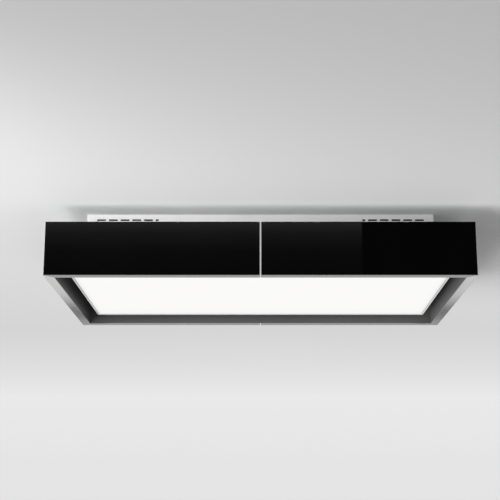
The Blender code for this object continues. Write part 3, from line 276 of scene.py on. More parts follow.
# The grommet. A ring of black rubber pressed into the cable hole of the ceiling plate.
# It is moulded in one piece with a soft rounded lip, so the wire isn't cut by the sheet.
def stained_finish(name, stain, stops, dullness, skin=None, **fixed):
    """A finish with a cloudy stain in its colour and its shine, and a fine skin over it."""
    finish = Finish(name, **fixed)
    where = finish.place()
    stain = finish.cloud(where, *stain)
    finish.vary("Base Color", finish.ramp(stain, *stops))
    finish.vary("Roughness", dullness[0] + stain * dullness[1])
    if skin:
        finish.relief(finish.cloud(where, skin[0]), skin[1])
    return finish.material


RUBBER = (0.3, (0.012, 0.012, 0.013)), (0.8, (0.035, 0.034, 0.033))
black_rubber = stained_finish(
    "moulded_rubber", (160.0, 4.0), RUBBER, (0.55, 0.25), (1800.0, 0.00003), Specular_IOR_Level=0.35
)


def skinned(name, rings):
    """A closed skin through rings of points. Each joins the next, and the last the first."""
    shape = bmesh.new()
    rings = [[shape.verts.new(point) for point in ring] for ring in rings]
    count = max(len(ring) for ring in rings)
    for first, second in zip(rings, rings[1:] + rings[:1]):
        for i in range(count):
            a, b = first[i % len(first)], first[(i + 1) % len(first)]
            c, d = second[(i + 1) % len(second)], second[i % len(second)]
            corners = tuple(dict.fromkeys((a, b, c, d)))
            if len(corners) > 2:
                shape.faces.new(corners)
    return made(name, shape)


def turned(name, profile, centre, segments=64, axis="Z"):
    """A closed profile of (radius, height) turned about an axis, as one closed solid."""
    rings = []
    for radius, height in profile:
        rings.append([])
        for i in range(1 if radius == 0.0 else segments):
            angle = math.tau * i / segments
            point = Vector((radius * math.cos(angle), radius * math.sin(angle), height))
            if axis == "X":
                point = Vector((point.z, point.x, point.y))
            rings[-1].append(point + Vector(centre))
    return smooth(skinned(name, rings))


def box_of(node):
    """The low corner, the high corner and the middle of a CAD node."""
    low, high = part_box(node)
    return low, high, (low + high) / 2


low, high, centre = box_of("cable_grommet")
outer = (high.x - low.x) / 2
sleeve = outer - 0.004
bore = sleeve - 0.003
lip_top = low.z + 0.002
round_off = 0.0006
profile = [
    (bore, low.z + round_off), (bore + round_off, low.z), (outer - round_off, low.z),
    (outer, low.z + round_off), (outer, lip_top - round_off), (outer - round_off, lip_top),
    (sleeve, lip_top), (sleeve, high.z - round_off / 2), (sleeve - round_off / 2, high.z),
    (bore + round_off, high.z), (bore, high.z - round_off),
]
ring = turned("rubber_grommet", profile, (centre.x, centre.y, 0.0))
fit(ring, black_rubber, "cable_grommet", ("cable_grommet",))


# The hangers. Two folded channels of galvanised steel between the ceiling plate and the
# body. Each is held by a row of cross-head screws through its lower flange.
for side in ("front", "back"):
    dress(f"hanger_{side}", galvanised, FOLDED_EDGE)

ZINC = (0.25, (0.56, 0.57, 0.60)), (0.5, (0.66, 0.66, 0.65)), (0.75, (0.60, 0.57, 0.50))
zinc_plate = stained_finish(
    "bright_zinc", (60.0, 3.0), ZINC, (0.22, 0.2), (900.0, 0.00001), Metallic=1.0
)


class Works(Tree):
    """A geometry tree with named sizes. It is run on a piece, and then taken off it."""

    def __init__(self, name, **sizes):
        group = bpy.data.node_groups.new(name, "GeometryNodeTree")
        super().__init__(group)
        group.interface.new_socket("Geometry", in_out="OUTPUT", socket_type="NodeSocketGeometry")
        self.places = {}
        for key, kind in {"Geometry": "Geometry", **sizes, "Finish": "Material"}.items():
            kind = "NodeSocket" + kind
            socket = group.interface.new_socket(key, in_out="INPUT", socket_type=kind)
            self.places[key] = socket.identifier
        self.start = group.nodes.new("NodeGroupInput")

    def size(self, key):
        return Wire(self.tree, self.start.outputs[key])

    def end(self, geometry):
        whole = self.node("GeometryNodeRealizeInstances", {"Geometry": geometry})
        sockets = {"Geometry": whole, "Material": self.size("Finish")}
        coated = self.node("GeometryNodeSetMaterial", sockets)
        out = self.tree.nodes.new("NodeGroupOutput")
        self.tree.links.new(coated.socket, out.inputs[0])

    def run(self, name, points, finish, **sizes):
        """Makes a piece from the tree, started from loose points or from no geometry."""
        mesh = bpy.data.meshes.new(name)
        mesh.from_pydata([tuple(p) for p in points], [], [])
        piece = shown(name, mesh)
        modifier = piece.modifiers.new("works", "NODES")
        modifier.node_group = self.tree
        for key, value in {**sizes, "Finish": finish}.items():
            modifier[self.places[key]] = value
        piece.update_tag()
        return settle(piece)


def set_out_tree():
    """Puts a pattern at every point, facing one way and spun a little differently each time."""
    works = Works("set_out", Pattern="Object", Facing="Vector", Spin="Float")
    sockets = {"Object": works.size("Pattern")}
    pattern = works.node(
        "GeometryNodeObjectInfo", sockets, "Geometry", transform_space="ORIGINAL"
    )
    facing = works.size("Facing")
    facing = works.node("FunctionNodeAlignRotationToVector", {"Vector": facing}, axis="Z")
    sockets = {2: works.size("Spin") * -1.0, 3: works.size("Spin"), "Seed": 7}
    spin = works.node("FunctionNodeRandomValue", sockets, 1, data_type="FLOAT")
    about = works.node("ShaderNodeCombineXYZ", {2: spin})
    turn = works.node("FunctionNodeEulerToRotation", {0: about})
    sockets = {0: facing, 1: turn}
    rotation = works.node("FunctionNodeRotateRotation", sockets, rotation_space="LOCAL")
    sockets = {"Points": works.size("Geometry"), "Instance": pattern, "Rotation": rotation}
    works.end(works.node("GeometryNodeInstanceOnPoints", sockets))
    return works


set_out = set_out_tree()


def laid(name, points, pattern, facing, finish, spin=0.0):
    """A pattern laid on every point, as one piece."""
    return set_out.run(name, points, finish, Pattern=pattern, Facing=facing, Spin=spin)


def block(low, high):
    """The eight-cornered solid between two corners, as mesh data to cut or join with."""
    shape = bmesh.new()
    spread = Matrix.Diagonal((*(Vector(high) - Vector(low)), 1.0))
    middle = Matrix.Translation((Vector(high) + Vector(low)) / 2)
    bmesh.ops.create_cube(shape, size=1.0, matrix=middle @ spread)
    return shape


def cut(piece, cutter):
    """Cuts a piece with another, which is used up."""
    boolean = piece.modifiers.new("cut", "BOOLEAN")
    boolean.object = cutter
    boolean.solver = "EXACT"
    settle(piece)
    bpy.data.objects.remove(cutter)


def notch(piece, low, high):
    cut(piece, made("notch", block(low, high)))


def cross_head_pattern(name, radius, height):
    """A pan head with a cross recess, on the spot where its screw goes in."""
    profile = [
        (0.0, height), (radius * 0.55, height), (radius * 0.82, height * 0.8),
        (radius * 0.97, height * 0.42), (radius, 0.0), (0.0, 0.0),
    ]
    head = turned(name, profile, (0.0, 0.0, 0.0), 20)
    arm = radius * 0.5
    width = radius * 0.11
    for x, y in ((arm, width), (width, arm)):
        notch(head, (-x, -y, height * 0.35), (x, y, height * 1.5))
    return smooth(head)


small_head = cross_head_pattern("small_head_pattern", 0.0036, 0.0018)


def screw_heads(name, points, facing, like, pattern=small_head, finish=zinc_plate):
    """A row of screws, seated on the points and facing one way."""
    fit(smooth(laid(name, points, pattern, facing, finish, 1.5)), finish, like)


def spaced(low, high, count):
    return [low + (high - low) * i / (count - 1) for i in range(count)]


UP = Vector((0.0, 0.0, 1.0))
DOWN = -UP
HANGER_SCREWS = 5

for side, sign in (("front", -1), ("back", 1)):
    low, high, centre = box_of(f"hanger_{side}")
    inset = 0.030
    off_centre = 0.003
    flange_top = low.z + 0.0015
    along = spaced(low.x + inset, high.x - inset, HANGER_SCREWS)
    points = [(x, centre.y + sign * off_centre, flange_top) for x in along]
    screw_heads(f"hanger_screws_{side}", points, UP, f"hanger_{side}")


# The diverter. A flat duct of galvanised sheet that splits the air to both carbon filters.
# Its long seams are folded over, and its top is cross-broken to keep the sheet quiet.
dress("diverter_duct", galvanised, 0.0003)

low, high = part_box("diverter_duct")
half = 0.006
rise = 0.0009
for sign, side in ((-1, "front"), (1, "back")):
    y = (high.y if sign > 0 else low.y) - sign * 0.014
    shape = block((low.x + 0.002, y - half, high.z), (high.x - 0.002, y + half, high.z + rise))
    seam = ease(made(f"duct_seam_{side}", shape), 0.0004)
    fit(seam, galvanised, "diverter_duct")


# The carbon filters. Two black cassettes behind the slots, filled with activated carbon on
# fleece. The fleece stands in upright pleats in the two faces that the air leaves by.
def carbon_finish():
    carbon = Finish("activated_carbon", Specular_IOR_Level=0.3)
    where = carbon.place()
    grain = carbon.cells(where, 900.0)
    fleece = carbon.cloud(where, 2500.0, 3.0)
    colour = carbon.ramp(grain, (0.0, (0.002, 0.002, 0.002)), (0.9, (0.010, 0.010, 0.011)))
    carbon.vary("Base Color", colour)
    carbon.vary("Roughness", 0.7 + fleece * 0.25)
    carbon.relief(grain + fleece * 0.4, 0.0003)
    return carbon.material


carbon_black = carbon_finish()
PLEAT_PITCH = 0.0062
PLEAT_DEPTH = 0.0032


def prism(first, second, shape=None):
    """Mesh data of the solid between two outlines, alone or beside what is there already."""
    shape = shape or bmesh.new()
    ends = [[shape.verts.new(point) for point in outline] for outline in (first, second)]
    for end in ends:
        shape.faces.new(end)
    for i in range(len(first)):
        j = (i + 1) % len(first)
        shape.faces.new((ends[0][i], ends[0][j], ends[1][j], ends[1][i]))
    return shape


def pleat_pattern():
    """One upright fold of fleece, with a rounded nose."""
    low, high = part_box("carbon_filter_left")
    reach = (high.z - low.z) / 2 - 0.009
    outline = [(-PLEAT_PITCH / 2, 0.0), (-0.0007, PLEAT_DEPTH * 0.9), (0.0, PLEAT_DEPTH)]
    outline += [(0.0007, PLEAT_DEPTH * 0.9), (PLEAT_PITCH / 2, 0.0)]
    shape = prism(*([(x, side * reach, z) for x, z in outline] for side in (-1, 1)))
    return made("pleat_pattern", shape)


pleat = pleat_pattern()

for side in ("left", "right"):
    node = f"carbon_filter_{side}"
    dress(node, carbon_black, 0.0006)
    low, high, centre = box_of(node)
    margin = 0.012
    pocket = 0.004
    count = int((high.x - low.x - 2 * margin) / PLEAT_PITCH)
    for y, facing, face in ((low.y + pocket, -1.0, "front"), (high.y - pocket, 1.0, "back")):
        points = [(x, y, centre.z) for x in spaced(low.x + margin, high.x - margin, count)]
        facing = Vector((0.0, facing, 0.0))
        pleats = laid(f"carbon_pleats_{side}_{face}", points, pleat, facing, carbon_black)
        fit(pleats, carbon_black, node)
bpy.data.objects.remove(pleat)


# The upper housing. A shroud of thin sheet steel, folded at its four upright corners and
# powder-coated light grey. The clean air leaves by three rows of slots at each end of its
# front and back, punched with round corners in a broken pattern like bricks.
def pale_paint_finish():
    paint = Finish("pale_powder_coat", Specular_IOR_Level=0.4)
    where = paint.place()
    peel = paint.cloud(where, 1100.0)
    drift = paint.cloud(where, 5.0, 3.0)
    scuff = paint.cloud(paint.place((14.0, 14.0, 120.0)), 3.0, 5.0)
    colour = paint.ramp(drift, (0.3, (0.68, 0.68, 0.675)), (0.75, (0.74, 0.74, 0.735)))
    paint.vary("Base Color", paint.over(scuff.between(0.62, 0.8) * 0.12, colour, (0.5, 0.5, 0.49, 1.0)))
    paint.vary("Roughness", 0.40 + peel * 0.08 + scuff.between(0.5, 0.8) * 0.08)
    paint.relief(peel, 0.00002)
    return paint.material


pale_paint = pale_paint_finish()
SHEET = 0.001
FOLD_RADIUS = 0.0022
SLOT = (0.0254, 0.005)
SLOT_BRIDGE = 0.0084
SLOT_CORNER = 0.0009
SLOT_ROWS = (0.018, 0.029, 0.040)
SLOTS_IN_ROW = 5
SLOT_FROM_END = 0.0286


def rounded_outline(half_x, half_y, radius, steps=6):
    """Points of a rectangle with round corners."""
    points = []
    for quarter, (sx, sy) in enumerate(((1, 1), (-1, 1), (-1, -1), (1, -1))):
        for step in range(steps + 1):
            angle = math.pi / 2 * (quarter + step / steps)
            x = sx * (half_x - radius) + radius * math.cos(angle)
            points.append((x, sy * (half_y - radius) + radius * math.sin(angle)))
    return points


def ring_wall(name, outer, inner, low, high):
    """A closed wall between two outlines with the same number of points."""
    edges = (outer, low), (outer, high), (inner, high), (inner, low)
    return skinned(name, [[(x, y, z) for x, y in outline] for outline, z in edges])


def slot_punch(name, length):
    """The punch of one slot, with its axis along Y."""
    outline = rounded_outline(length / 2, SLOT[1] / 2, SLOT_CORNER, 3)
    reach = 3 * SHEET
    shape = prism(*([(x, y, z) for x, z in outline] for y in (-reach, reach)))
    return made(name, shape)


low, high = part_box("upper_housing")
outer = rounded_outline(high.x, high.y, FOLD_RADIUS)
inner = rounded_outline(high.x - SHEET, high.y - SHEET, FOLD_RADIUS - SHEET)
shell = ring_wall("housing_shell", outer, inner, low.z, high.z)
pitch = SLOT[0] + SLOT_BRIDGE
short = (pitch - 2 * SLOT_BRIDGE) / 2
long_points, short_points = [], []
for row, drop in enumerate(SLOT_ROWS):
    x = low.x + SLOT_FROM_END
    lengths = [SLOT[0]] * SLOTS_IN_ROW
    lengths.insert(0 if row % 2 else SLOTS_IN_ROW, short)
    for length in lengths:
        group = short_points if length == short else long_points
        for y in (low.y + SHEET / 2, high.y - SHEET / 2):
            group += [(x + length / 2, y, -drop), (-x - length / 2, y, -drop)]
        x += length + SLOT_BRIDGE
for points, length in ((long_points, SLOT[0]), (short_points, short)):
    punch = slot_punch("slot_punch", length)
    cut(shell, laid("slot_punches", points, punch, UP, pale_paint))
    bpy.data.objects.remove(punch)
ease(shell, 0.00025, 2, 50.0)
fit(shell, pale_paint, "upper_housing", ("upper_housing",))


# The housing screws. Four zinc-plated pan-head screws, two in each end of the housing,
# which run into the turned-down ends of the ceiling plate.
for end, facing in (("left", -1.0), ("right", 1.0)):
    for side in ("front", "back"):
        node = f"housing_screw_{end}_{side}"
        low, high, centre = box_of(node)
        head = 0.0022
        seat = high.x - head if facing > 0 else low.x + head
        profile = [
            (0.0, seat + facing * head), (0.0022, seat + facing * head),
            (0.0033, seat + facing * head * 0.8), (0.0039, seat + facing * head * 0.4),
            (0.0039, seat), (0.0017, seat), (0.0017, low.x if facing > 0 else high.x),
            (0.0, low.x if facing > 0 else high.x),
        ]
        screw = turned(f"{node}_piece", profile, (0.0, centre.y, centre.z), 32, "X")
        face = seat + facing * head
        reach = sorted((face - facing * 0.0013, face + facing * 0.001))
        for across, along in ((0.0004, 0.0019), (0.0019, 0.0004)):
            low_corner = (reach[0], centre.y - across, centre.z - along)
            notch(screw, low_corner, (reach[1], centre.y + across, centre.z + along))
        fit(smooth(screw), zinc_plate, node, (node,))


# The top cover. The lid of the body, galvanised sheet with long beads pressed into it to
# keep it flat, and its edge turned down inside the rails and screwed to them.
def add_bead(sheet, outline, centre, floor):
    """Presses a long shallow bead with round ends down into a sheet."""
    foot = [(x + centre[0], y + centre[1], floor) for x, y in outline]
    cut(sheet, made("bead_tool", prism(foot, [(x, y, floor + 0.003) for x, y, _ in foot])))


cover = clean_copy("top_cover", "top_cover_piece")
low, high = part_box("top_cover")
housing_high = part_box("upper_housing")[1]
bead_depth = 0.0006
half_bead = 0.007
for sign in (-1, 1):
    y = sign * (housing_high.y + high.y) / 2
    reach = high.x - 0.060
    outline = rounded_outline(reach, half_bead, half_bead - 0.0001, 6)
    add_bead(cover, outline, (0.0, y), high.z - bead_depth)
    x = sign * (housing_high.x + high.x) / 2
    outline = rounded_outline(half_bead, housing_high.y, half_bead - 0.0001, 6)
    add_bead(cover, outline, (x, 0.0), high.z - bead_depth)
ease(cover, 0.0004)
fit(cover, galvanised, "top_cover", ("top_cover",))
# Screws all round the cover, into the rails.
inset = 0.014
along = spaced(low.x + 0.035, high.x - 0.035, 9)
across = spaced(low.y + 0.060, high.y - 0.060, 5)
points = [(x, y, high.z) for x in along for y in (low.y + inset, high.y - inset)]
points += [(x, y, high.z) for y in across for x in (low.x + inset, high.x - inset)]
screw_heads("cover_screws", points, UP, "top_cover")


# The rails. Four folded lengths of brushed stainless steel, mitred at the corners. The wide
# flange is the rim that shows below, and the glass is bonded to the upright web. Each length
# is brushed along itself, so the grain changes direction at the mitres.
def brushed_finish(name, along, dullness, shade):
    steel = Finish(name, Metallic=1.0)
    fine = [2600.0, 2600.0, 2600.0]
    fine["XYZ".index(along)] = 5.0
    broad = [260.0, 260.0, 260.0]
    broad["XYZ".index(along)] = 1.6
    grain = steel.cloud(steel.place(tuple(fine)), 1.0, 3.0)
    bands = steel.cloud(steel.place(tuple(broad)), 1.0, 3.0)
    hands = steel.cloud(steel.place(), 7.0, 4.0)
    # The shade sets how light the steel is painted. The two kinds of rail get very different shades, as
    # painted light and painted shade.
    colour = steel.ramp(
        grain * 0.6 + bands * 0.4, (0.25, (shade * 0.87, shade * 0.87, shade * 0.86)),
        (0.5, (shade, shade, shade * 0.99)), (0.75, (shade * 1.13, shade * 1.13, shade * 1.12)),
    )
    steel.vary("Base Color", colour)
    steel.vary("Roughness", dullness * (0.6 + grain * 0.8) + hands.between(0.55, 0.85) * 0.02)
    steel.relief(grain + bands * 0.5, dullness * 0.00004)
    return steel.material


# The long rails are painted a dark steel and the end rails a light one: painted shade and painted light
# for how each length catches the light.
steel_along = brushed_finish("brushed_steel_long_rails", "X", 0.24, 0.465)
steel_across = brushed_finish("brushed_steel_end_rails", "Y", 0.06, 0.78)
for side, steel in (
    ("front", steel_along),
    ("back", steel_along),
    ("left", steel_across),
    ("right", steel_across),
):
    dress(f"rail_{side}", steel, 0.0003)


# The glass. Six panes of toughened glass, painted black on the back and bonded to the
# rails. The front and back are two panes each, and all the edges are ground and polished.
def black_glass_finish():
    glass = Finish("black_glass", Specular_IOR_Level=0.5, Coat_Roughness=0.02, Coat_Weight=0.2)
    where = glass.place()
    hands = glass.cloud(where, 6.0, 5.0)
    dust = glass.cells(where, 420.0)
    colour = glass.ramp(hands, (0.35, (0.0005, 0.0005, 0.0006)), (0.8, (0.0010, 0.0010, 0.0011)))
    specks = dust.between(0.10, 0.06)
    colour = glass.over(specks * 0.02, colour, (0.35, 0.34, 0.33, 1.0))
    # A light grey line is painted on the ends of the panes at the corners: a painted highlight on the
    # glass edge.
    low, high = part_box("glass_front_right")
    along = abs(glass.part(where, "X")).between(high.x - 0.0014, high.x - 0.0010)
    outer = abs(glass.part(where, "Y")).between(-low.y - 0.0054, -low.y - 0.0051)
    glass.vary("Base Color", glass.over(along * outer, colour, (0.40, 0.42, 0.41, 1.0)))
    glass.vary("Roughness", 0.025 + hands.between(0.45, 0.9) * 0.05)
    glass.relief(glass.cloud(where, 2.4), 0.0002)
    return glass.material


black_glass = black_glass_finish()
POLISHED_EDGE = 0.0008
for pane in ("front_left", "front_right", "back_left", "back_right", "left", "right"):
    dress(f"glass_{pane}", black_glass, POLISHED_EDGE, 3)


# The dividers. Strips of bright anodised aluminium between the two panes, front and back,
# folded under the rim at the foot.
def drawn_finish(name, stretch, stops, dullness, smear, **fixed):
    """Anodised aluminium, with fine lines along the way that it was drawn."""
    drawn = Finish(name, **fixed)
    lines = drawn.cloud(drawn.place(stretch), 1.0, 3.0)
    drawn.vary("Base Color", drawn.ramp(lines, *stops))
    smears = drawn.cloud(drawn.place(), 30.0, 3.0) * smear
    drawn.vary("Roughness", dullness + lines * 0.12 + smears)
    drawn.relief(lines, 0.000006)
    return drawn.material


SATIN = (0.3, (0.68, 0.68, 0.68)), (0.7, (0.78, 0.78, 0.78))
look = {"Metallic": 0.55, "Specular_IOR_Level": 0.5}
upright = (2200.0, 2200.0, 12.0)
satin_trim = drawn_finish("satin_anodised_aluminium", upright, SATIN, 0.42, 0.0, **look)
for side in ("front", "back"):
    dress(f"divider_{side}", satin_trim, 0.0004)


# The liner. A black powder-coated wall round the recess, standing on the rim. It is
# spot-welded from four strips, which overlap a little at the corners.
def black_paint_finish():
    paint = Finish("black_powder_coat", Specular_IOR_Level=0.3)
    where = paint.place()
    peel = paint.cloud(where, 700.0)
    grease = paint.cloud(where, 7.0, 5.0)
    colour = paint.ramp(grease, (0.3, (0.078, 0.078, 0.080)), (0.8, (0.092, 0.091, 0.090)))
    paint.vary("Base Color", colour)
    paint.vary("Roughness", 0.46 + peel * 0.10 + grease.between(0.5, 0.8) * 0.06)
    paint.relief(peel, 0.00001)
    return paint.material


black_paint = black_paint_finish()
dress("inner_liner", black_paint, 0.0003)


def spot_weld_pattern():
    """The shallow round dimple and bead that a welding tip leaves."""
    profile = [(0.0, 0.0002), (0.0012, 0.00025), (0.0019, 0.0004), (0.0026, 0.0), (0.0, 0.0)]
    return turned("spot_weld_pattern", profile, (0.0, 0.0, 0.0), 14)


weld = spot_weld_pattern()


def weld_row(side, points, facing):
    name = f"liner_welds_{side}"
    screw_heads(name, points, Vector(facing), "inner_liner", weld, black_paint)


low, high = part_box("inner_liner")
z = high.z - 0.010
wall = 0.001
ends = spaced(low.y + 0.05, high.y - 0.05, 5)
sides = spaced(low.x + 0.05, high.x - 0.05, 9)
weld_row("left", [(low.x + wall, y, z) for y in ends], (1.0, 0.0, 0.0))
weld_row("right", [(high.x - wall, y, z) for y in ends], (-1.0, 0.0, 0.0))
weld_row("front", [(x, low.y + wall, z) for x in sides], (0.0, 1.0, 0.0))
weld_row("back", [(x, high.y - wall, z) for x in sides], (0.0, -1.0, 0.0))


# The filter plate. A black sheet above the light panel with an opening for each grease
# filter, a slotted keeper in front of it for the latch, and a hook behind it.
dress("filter_plate", black_paint, 0.0003)

low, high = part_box("filter_plate")
inset = 0.012
along = spaced(low.x + 0.04, high.x - 0.04, 7)
points = [(x, y, low.z) for x in along for y in (low.y + inset, high.y - inset)]
screw_heads("filter_plate_screws", points, DOWN, "filter_plate")


# The blower. A scroll of galvanised sheet in two pieces, with a motor hung in its lid and a
# moulded drum wheel round the motor. The wheel has curved blades between a back plate and
# a ring, and draws through the round inlet below.
dress("scroll_casing", galvanised, 0.0003)
dress("scroll_lid", galvanised, 0.0003)
dress("motor_plate", zinc_plate, 0.0003)

SCROLL_RIVETS = 12

# Rivets that close the lid on the casing, set round its spiral edge.
low, high, centre = box_of("motor_plate")
sheet_top = low.z - 0.0003
points = []
for i in range(SCROLL_RIVETS):
    share = i / (SCROLL_RIVETS - 1)
    angle = math.radians(-25.0 + 280.0 * share)
    radius = 0.098 + 0.052 * share - 0.008
    x = centre.x + radius * math.cos(angle)
    points.append((x, centre.y + radius * math.sin(angle), sheet_top))
screw_heads("scroll_rivets", points, UP, "scroll_lid", weld, galvanised)


def cast_finish():
    cast = Finish("mill_aluminium", Metallic=0.95)
    where = cast.place()
    rolled = cast.cloud(cast.place((900.0, 8.0, 900.0)), 1.0, 3.0)
    cloudy = cast.cloud(where, 45.0, 4.0)
    colour = cast.ramp(
        rolled * 0.5 + cloudy * 0.5, (0.3, (0.58, 0.59, 0.60)), (0.7, (0.74, 0.75, 0.76)),
    )
    cast.vary("Base Color", colour)
    cast.vary("Roughness", 0.30 + cloudy * 0.18)
    cast.relief(rolled + cloudy, 0.00002)
    return cast.material


mill_aluminium = cast_finish()

low, high, centre = box_of("motor")
radius = (high.x - low.x) / 2
shaft = 0.004
foot = low.z + 0.010
profile = [
    (0.0, high.z), (radius - 0.004, high.z), (radius - 0.0012, high.z - 0.0012),
    (radius, high.z - 0.004), (radius, foot + 0.010), (radius - 0.0015, foot + 0.0095),
    (radius - 0.0015, foot + 0.0085), (radius, foot + 0.008), (radius - 0.001, foot + 0.004),
    (radius - 0.006, foot + 0.0012), (0.014, foot), (0.012, foot), (shaft, foot),
    (shaft, low.z + 0.0006), (shaft - 0.0006, low.z), (0.0, low.z),
]
body = turned("motor_body", profile, (centre.x, centre.y, 0.0), 72)
fit(body, mill_aluminium, "motor", ("motor",))

low, high, centre = box_of("motor_plate")
circle = 0.054
points = [
    (centre.x + circle * math.cos(turn), centre.y + circle * math.sin(turn), high.z)
    for turn in (math.radians(45.0 + 90.0 * i) for i in range(4))
]
screw_heads("motor_bolts", points, UP, "motor_plate")


def skin_finish(name, shine, grain_scale, drift_scale, stops, dullness, depth, detail=3.0):
    """A moulded or sprayed skin with a fine grain, its colour drifting a little over the piece."""
    skin = Finish(name, Specular_IOR_Level=shine)
    where = skin.place()
    grain = skin.cloud(where, grain_scale, detail)
    skin.vary("Base Color", skin.ramp(skin.cloud(where, drift_scale, 3.0), *stops))
    skin.vary("Roughness", dullness[0] + grain * dullness[1])
    skin.relief(grain, depth)
    return skin.material


BLACK = (0.3, (0.014, 0.014, 0.015)), (0.8, (0.026, 0.026, 0.027))
black_plastic = skin_finish(
    "black_moulded_plastic", 0.45, 1500.0, 18.0, BLACK, (0.38, 0.2), 0.00003
)
BLADES = 36
BLADE_SWEEP = 40.0


def curved_blades(inner, outer, low, high, centre):
    """The blades of the wheel, hollow side forward, as thin closed strips."""
    steps = 6
    half = 0.00045
    shape = bmesh.new()
    for blade in range(BLADES):
        faces = ([], [])
        for i in range(steps + 1):
            radius = inner + (outer - inner) * i / steps
            turn = math.tau * blade / BLADES
            turn += math.radians(BLADE_SWEEP) * (i / steps) ** 2 * (outer - inner) / outer
            for face, side in zip(faces, (-half, half)):
                x = radius * math.cos(turn) - side * math.sin(turn)
                y = radius * math.sin(turn) + side * math.cos(turn)
                face.append((centre.x + x, centre.y + y))
        outline = faces[0] + faces[1][::-1]
        prism(*([(x, y, z) for x, y in outline] for z in (low, high)), shape)
    return smooth(made("drum_blades", shape))


low, high, centre = box_of("impeller")
motor_low, motor_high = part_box("motor")
outer = (high.x - low.x) / 2
inner = outer - 0.014
cup = (motor_high.x - motor_low.x) / 2 + 0.004
wall = 0.001
floor = motor_low.z + 0.010 - 0.004
bore = 0.0046
profile = [
    (bore, floor - 0.0075), (0.0084, floor - 0.0075), (0.009, floor - 0.0069),
    (0.009, floor - wall - 0.0012), (0.0102, floor - wall), (cup - 0.004, floor - wall),
    (cup + wall, floor - wall + 0.004), (cup + wall, high.z - wall - 0.002),
    (cup + wall + 0.002, high.z - wall), (outer - 0.0004, high.z - wall),
    (outer, high.z - wall / 2), (outer - 0.0004, high.z), (cup + 0.002, high.z),
    (cup, high.z - 0.002), (cup, floor + 0.004), (cup - 0.004, floor), (bore, floor),
]
drum = turned("drum_wheel", profile, (centre.x, centre.y, 0.0), 72)
fit(drum, black_plastic, "impeller", ("impeller",))
ring_profile = [
    (inner + 0.0004, low.z), (outer - 0.0004, low.z), (outer, low.z + 0.0004),
    (outer, low.z + 0.003), (outer - 0.001, low.z + 0.003), (outer - 0.0012, low.z + 0.0015),
    (inner, low.z + 0.0015), (inner, low.z + 0.0004),
]
ring = turned("drum_ring", ring_profile, (centre.x, centre.y, 0.0), 72)
fit(ring, black_plastic, "impeller")
reach = (inner + 0.0003, outer - 0.0012, low.z + 0.001, high.z - wall / 2)
fit(curved_blades(*reach, centre), black_plastic, "impeller")


# The capacitor. A drawn aluminium can with a rolled rim and a moulded cap, held by a band
# under the cover beside the elbow.
low, high, centre = box_of("capacitor")
radius = (high.z - low.z) / 2
can = radius - 0.0008
profile = [
    (0.0, low.x + 0.001), (can - 0.006, low.x + 0.001), (can - 0.005, low.x),
    (can - 0.002, low.x + 0.0004), (can, low.x + 0.003), (can, high.x - 0.012),
    (radius, high.x - 0.0112), (radius, high.x - 0.0092), (can, high.x - 0.0085),
    (can - 0.001, high.x - 0.004), (0.008, high.x - 0.004), (0.0072, high.x), (0.0, high.x),
]
body = turned("capacitor_can", profile, (0.0, centre.y, centre.z), 56, "X")
fit(body, mill_aluminium, "capacitor", ("capacitor",))
band_low = low.x + 0.022
band = [
    (can, band_low), (radius, band_low + 0.0003), (radius, band_low + 0.0117),
    (can, band_low + 0.012),
]
strap = turned("capacitor_band", band, (0.0, centre.y, centre.z), 56, "X")
fit(strap, zinc_plate, "capacitor")


# The outlet. A black moulded collar with two white flaps on upright pins, which the air
# pushes open, and a galvanised elbow that turns the air up through the cover.
dress("flap_frame", black_plastic, 0.0004)

WHITE = (0.3, (0.68, 0.68, 0.66)), (0.8, (0.76, 0.76, 0.745))
white_plastic = skin_finish(
    "white_moulded_plastic", 0.5, 1300.0, 22.0, WHITE, (0.34, 0.15), 0.00002
)
for side in ("front", "back"):
    dress(f"flap_{side}", white_plastic, 0.0003)
dress("outlet_elbow", galvanised, 0.0003)

# Folded flange that the elbow hangs from, screwed to the underside of the cover.
low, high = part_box("outlet_elbow")
cover_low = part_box("top_cover")[1].z - 0.0012
y_reach = high.y + 0.012
for sign, side in ((-1, "front"), (1, "back")):
    y0, y1 = sorted((sign * (high.y + 0.0002), sign * y_reach))
    shape = block((low.x + 0.016, y0, cover_low - 0.0012), (high.x, y1, cover_low - 0.0001))
    flange = ease(made(f"elbow_flange_{side}", shape), 0.0003)
    fit(flange, galvanised, "outlet_elbow")
    along = spaced(low.x + 0.028, high.x - 0.012, 3)
    points = [(x, sign * (high.y + 0.0065), cover_low - 0.0012) for x in along]
    screw_heads(f"elbow_screws_{side}", points, DOWN, "outlet_elbow")


# The electrics. A zinc-plated box with a screwed lid for the controls, a white moulded
# driver for the light, and mains terminals with brass screws below the cable hole.
dress("control_box", galvanised, 0.0004)
dress("control_box_lid", zinc_plate, 0.0005)
dress("led_driver", white_plastic, 0.0012, 3)
dress("terminal_block", white_plastic, 0.0005)

BRASS = (0.3, (0.55, 0.40, 0.16)), (0.8, (0.72, 0.56, 0.26))
brass = stained_finish("turned_brass", (300.0, 3.0), BRASS, (0.25, 0.2), Metallic=1.0)


def slotted_pattern():
    """A cheese-head terminal screw with a single slot."""
    radius = 0.0022
    profile = [(0.0, 0.0012), (radius * 0.9, 0.0012), (radius, 0.0009), (radius, 0.0), (0.0, 0.0)]
    head = turned("slotted_pattern", profile, (0.0, 0.0, 0.0), 18)
    notch(head, (-radius * 1.2, -0.0003, 0.0006), (radius * 1.2, 0.0003, 0.002))
    return smooth(head)


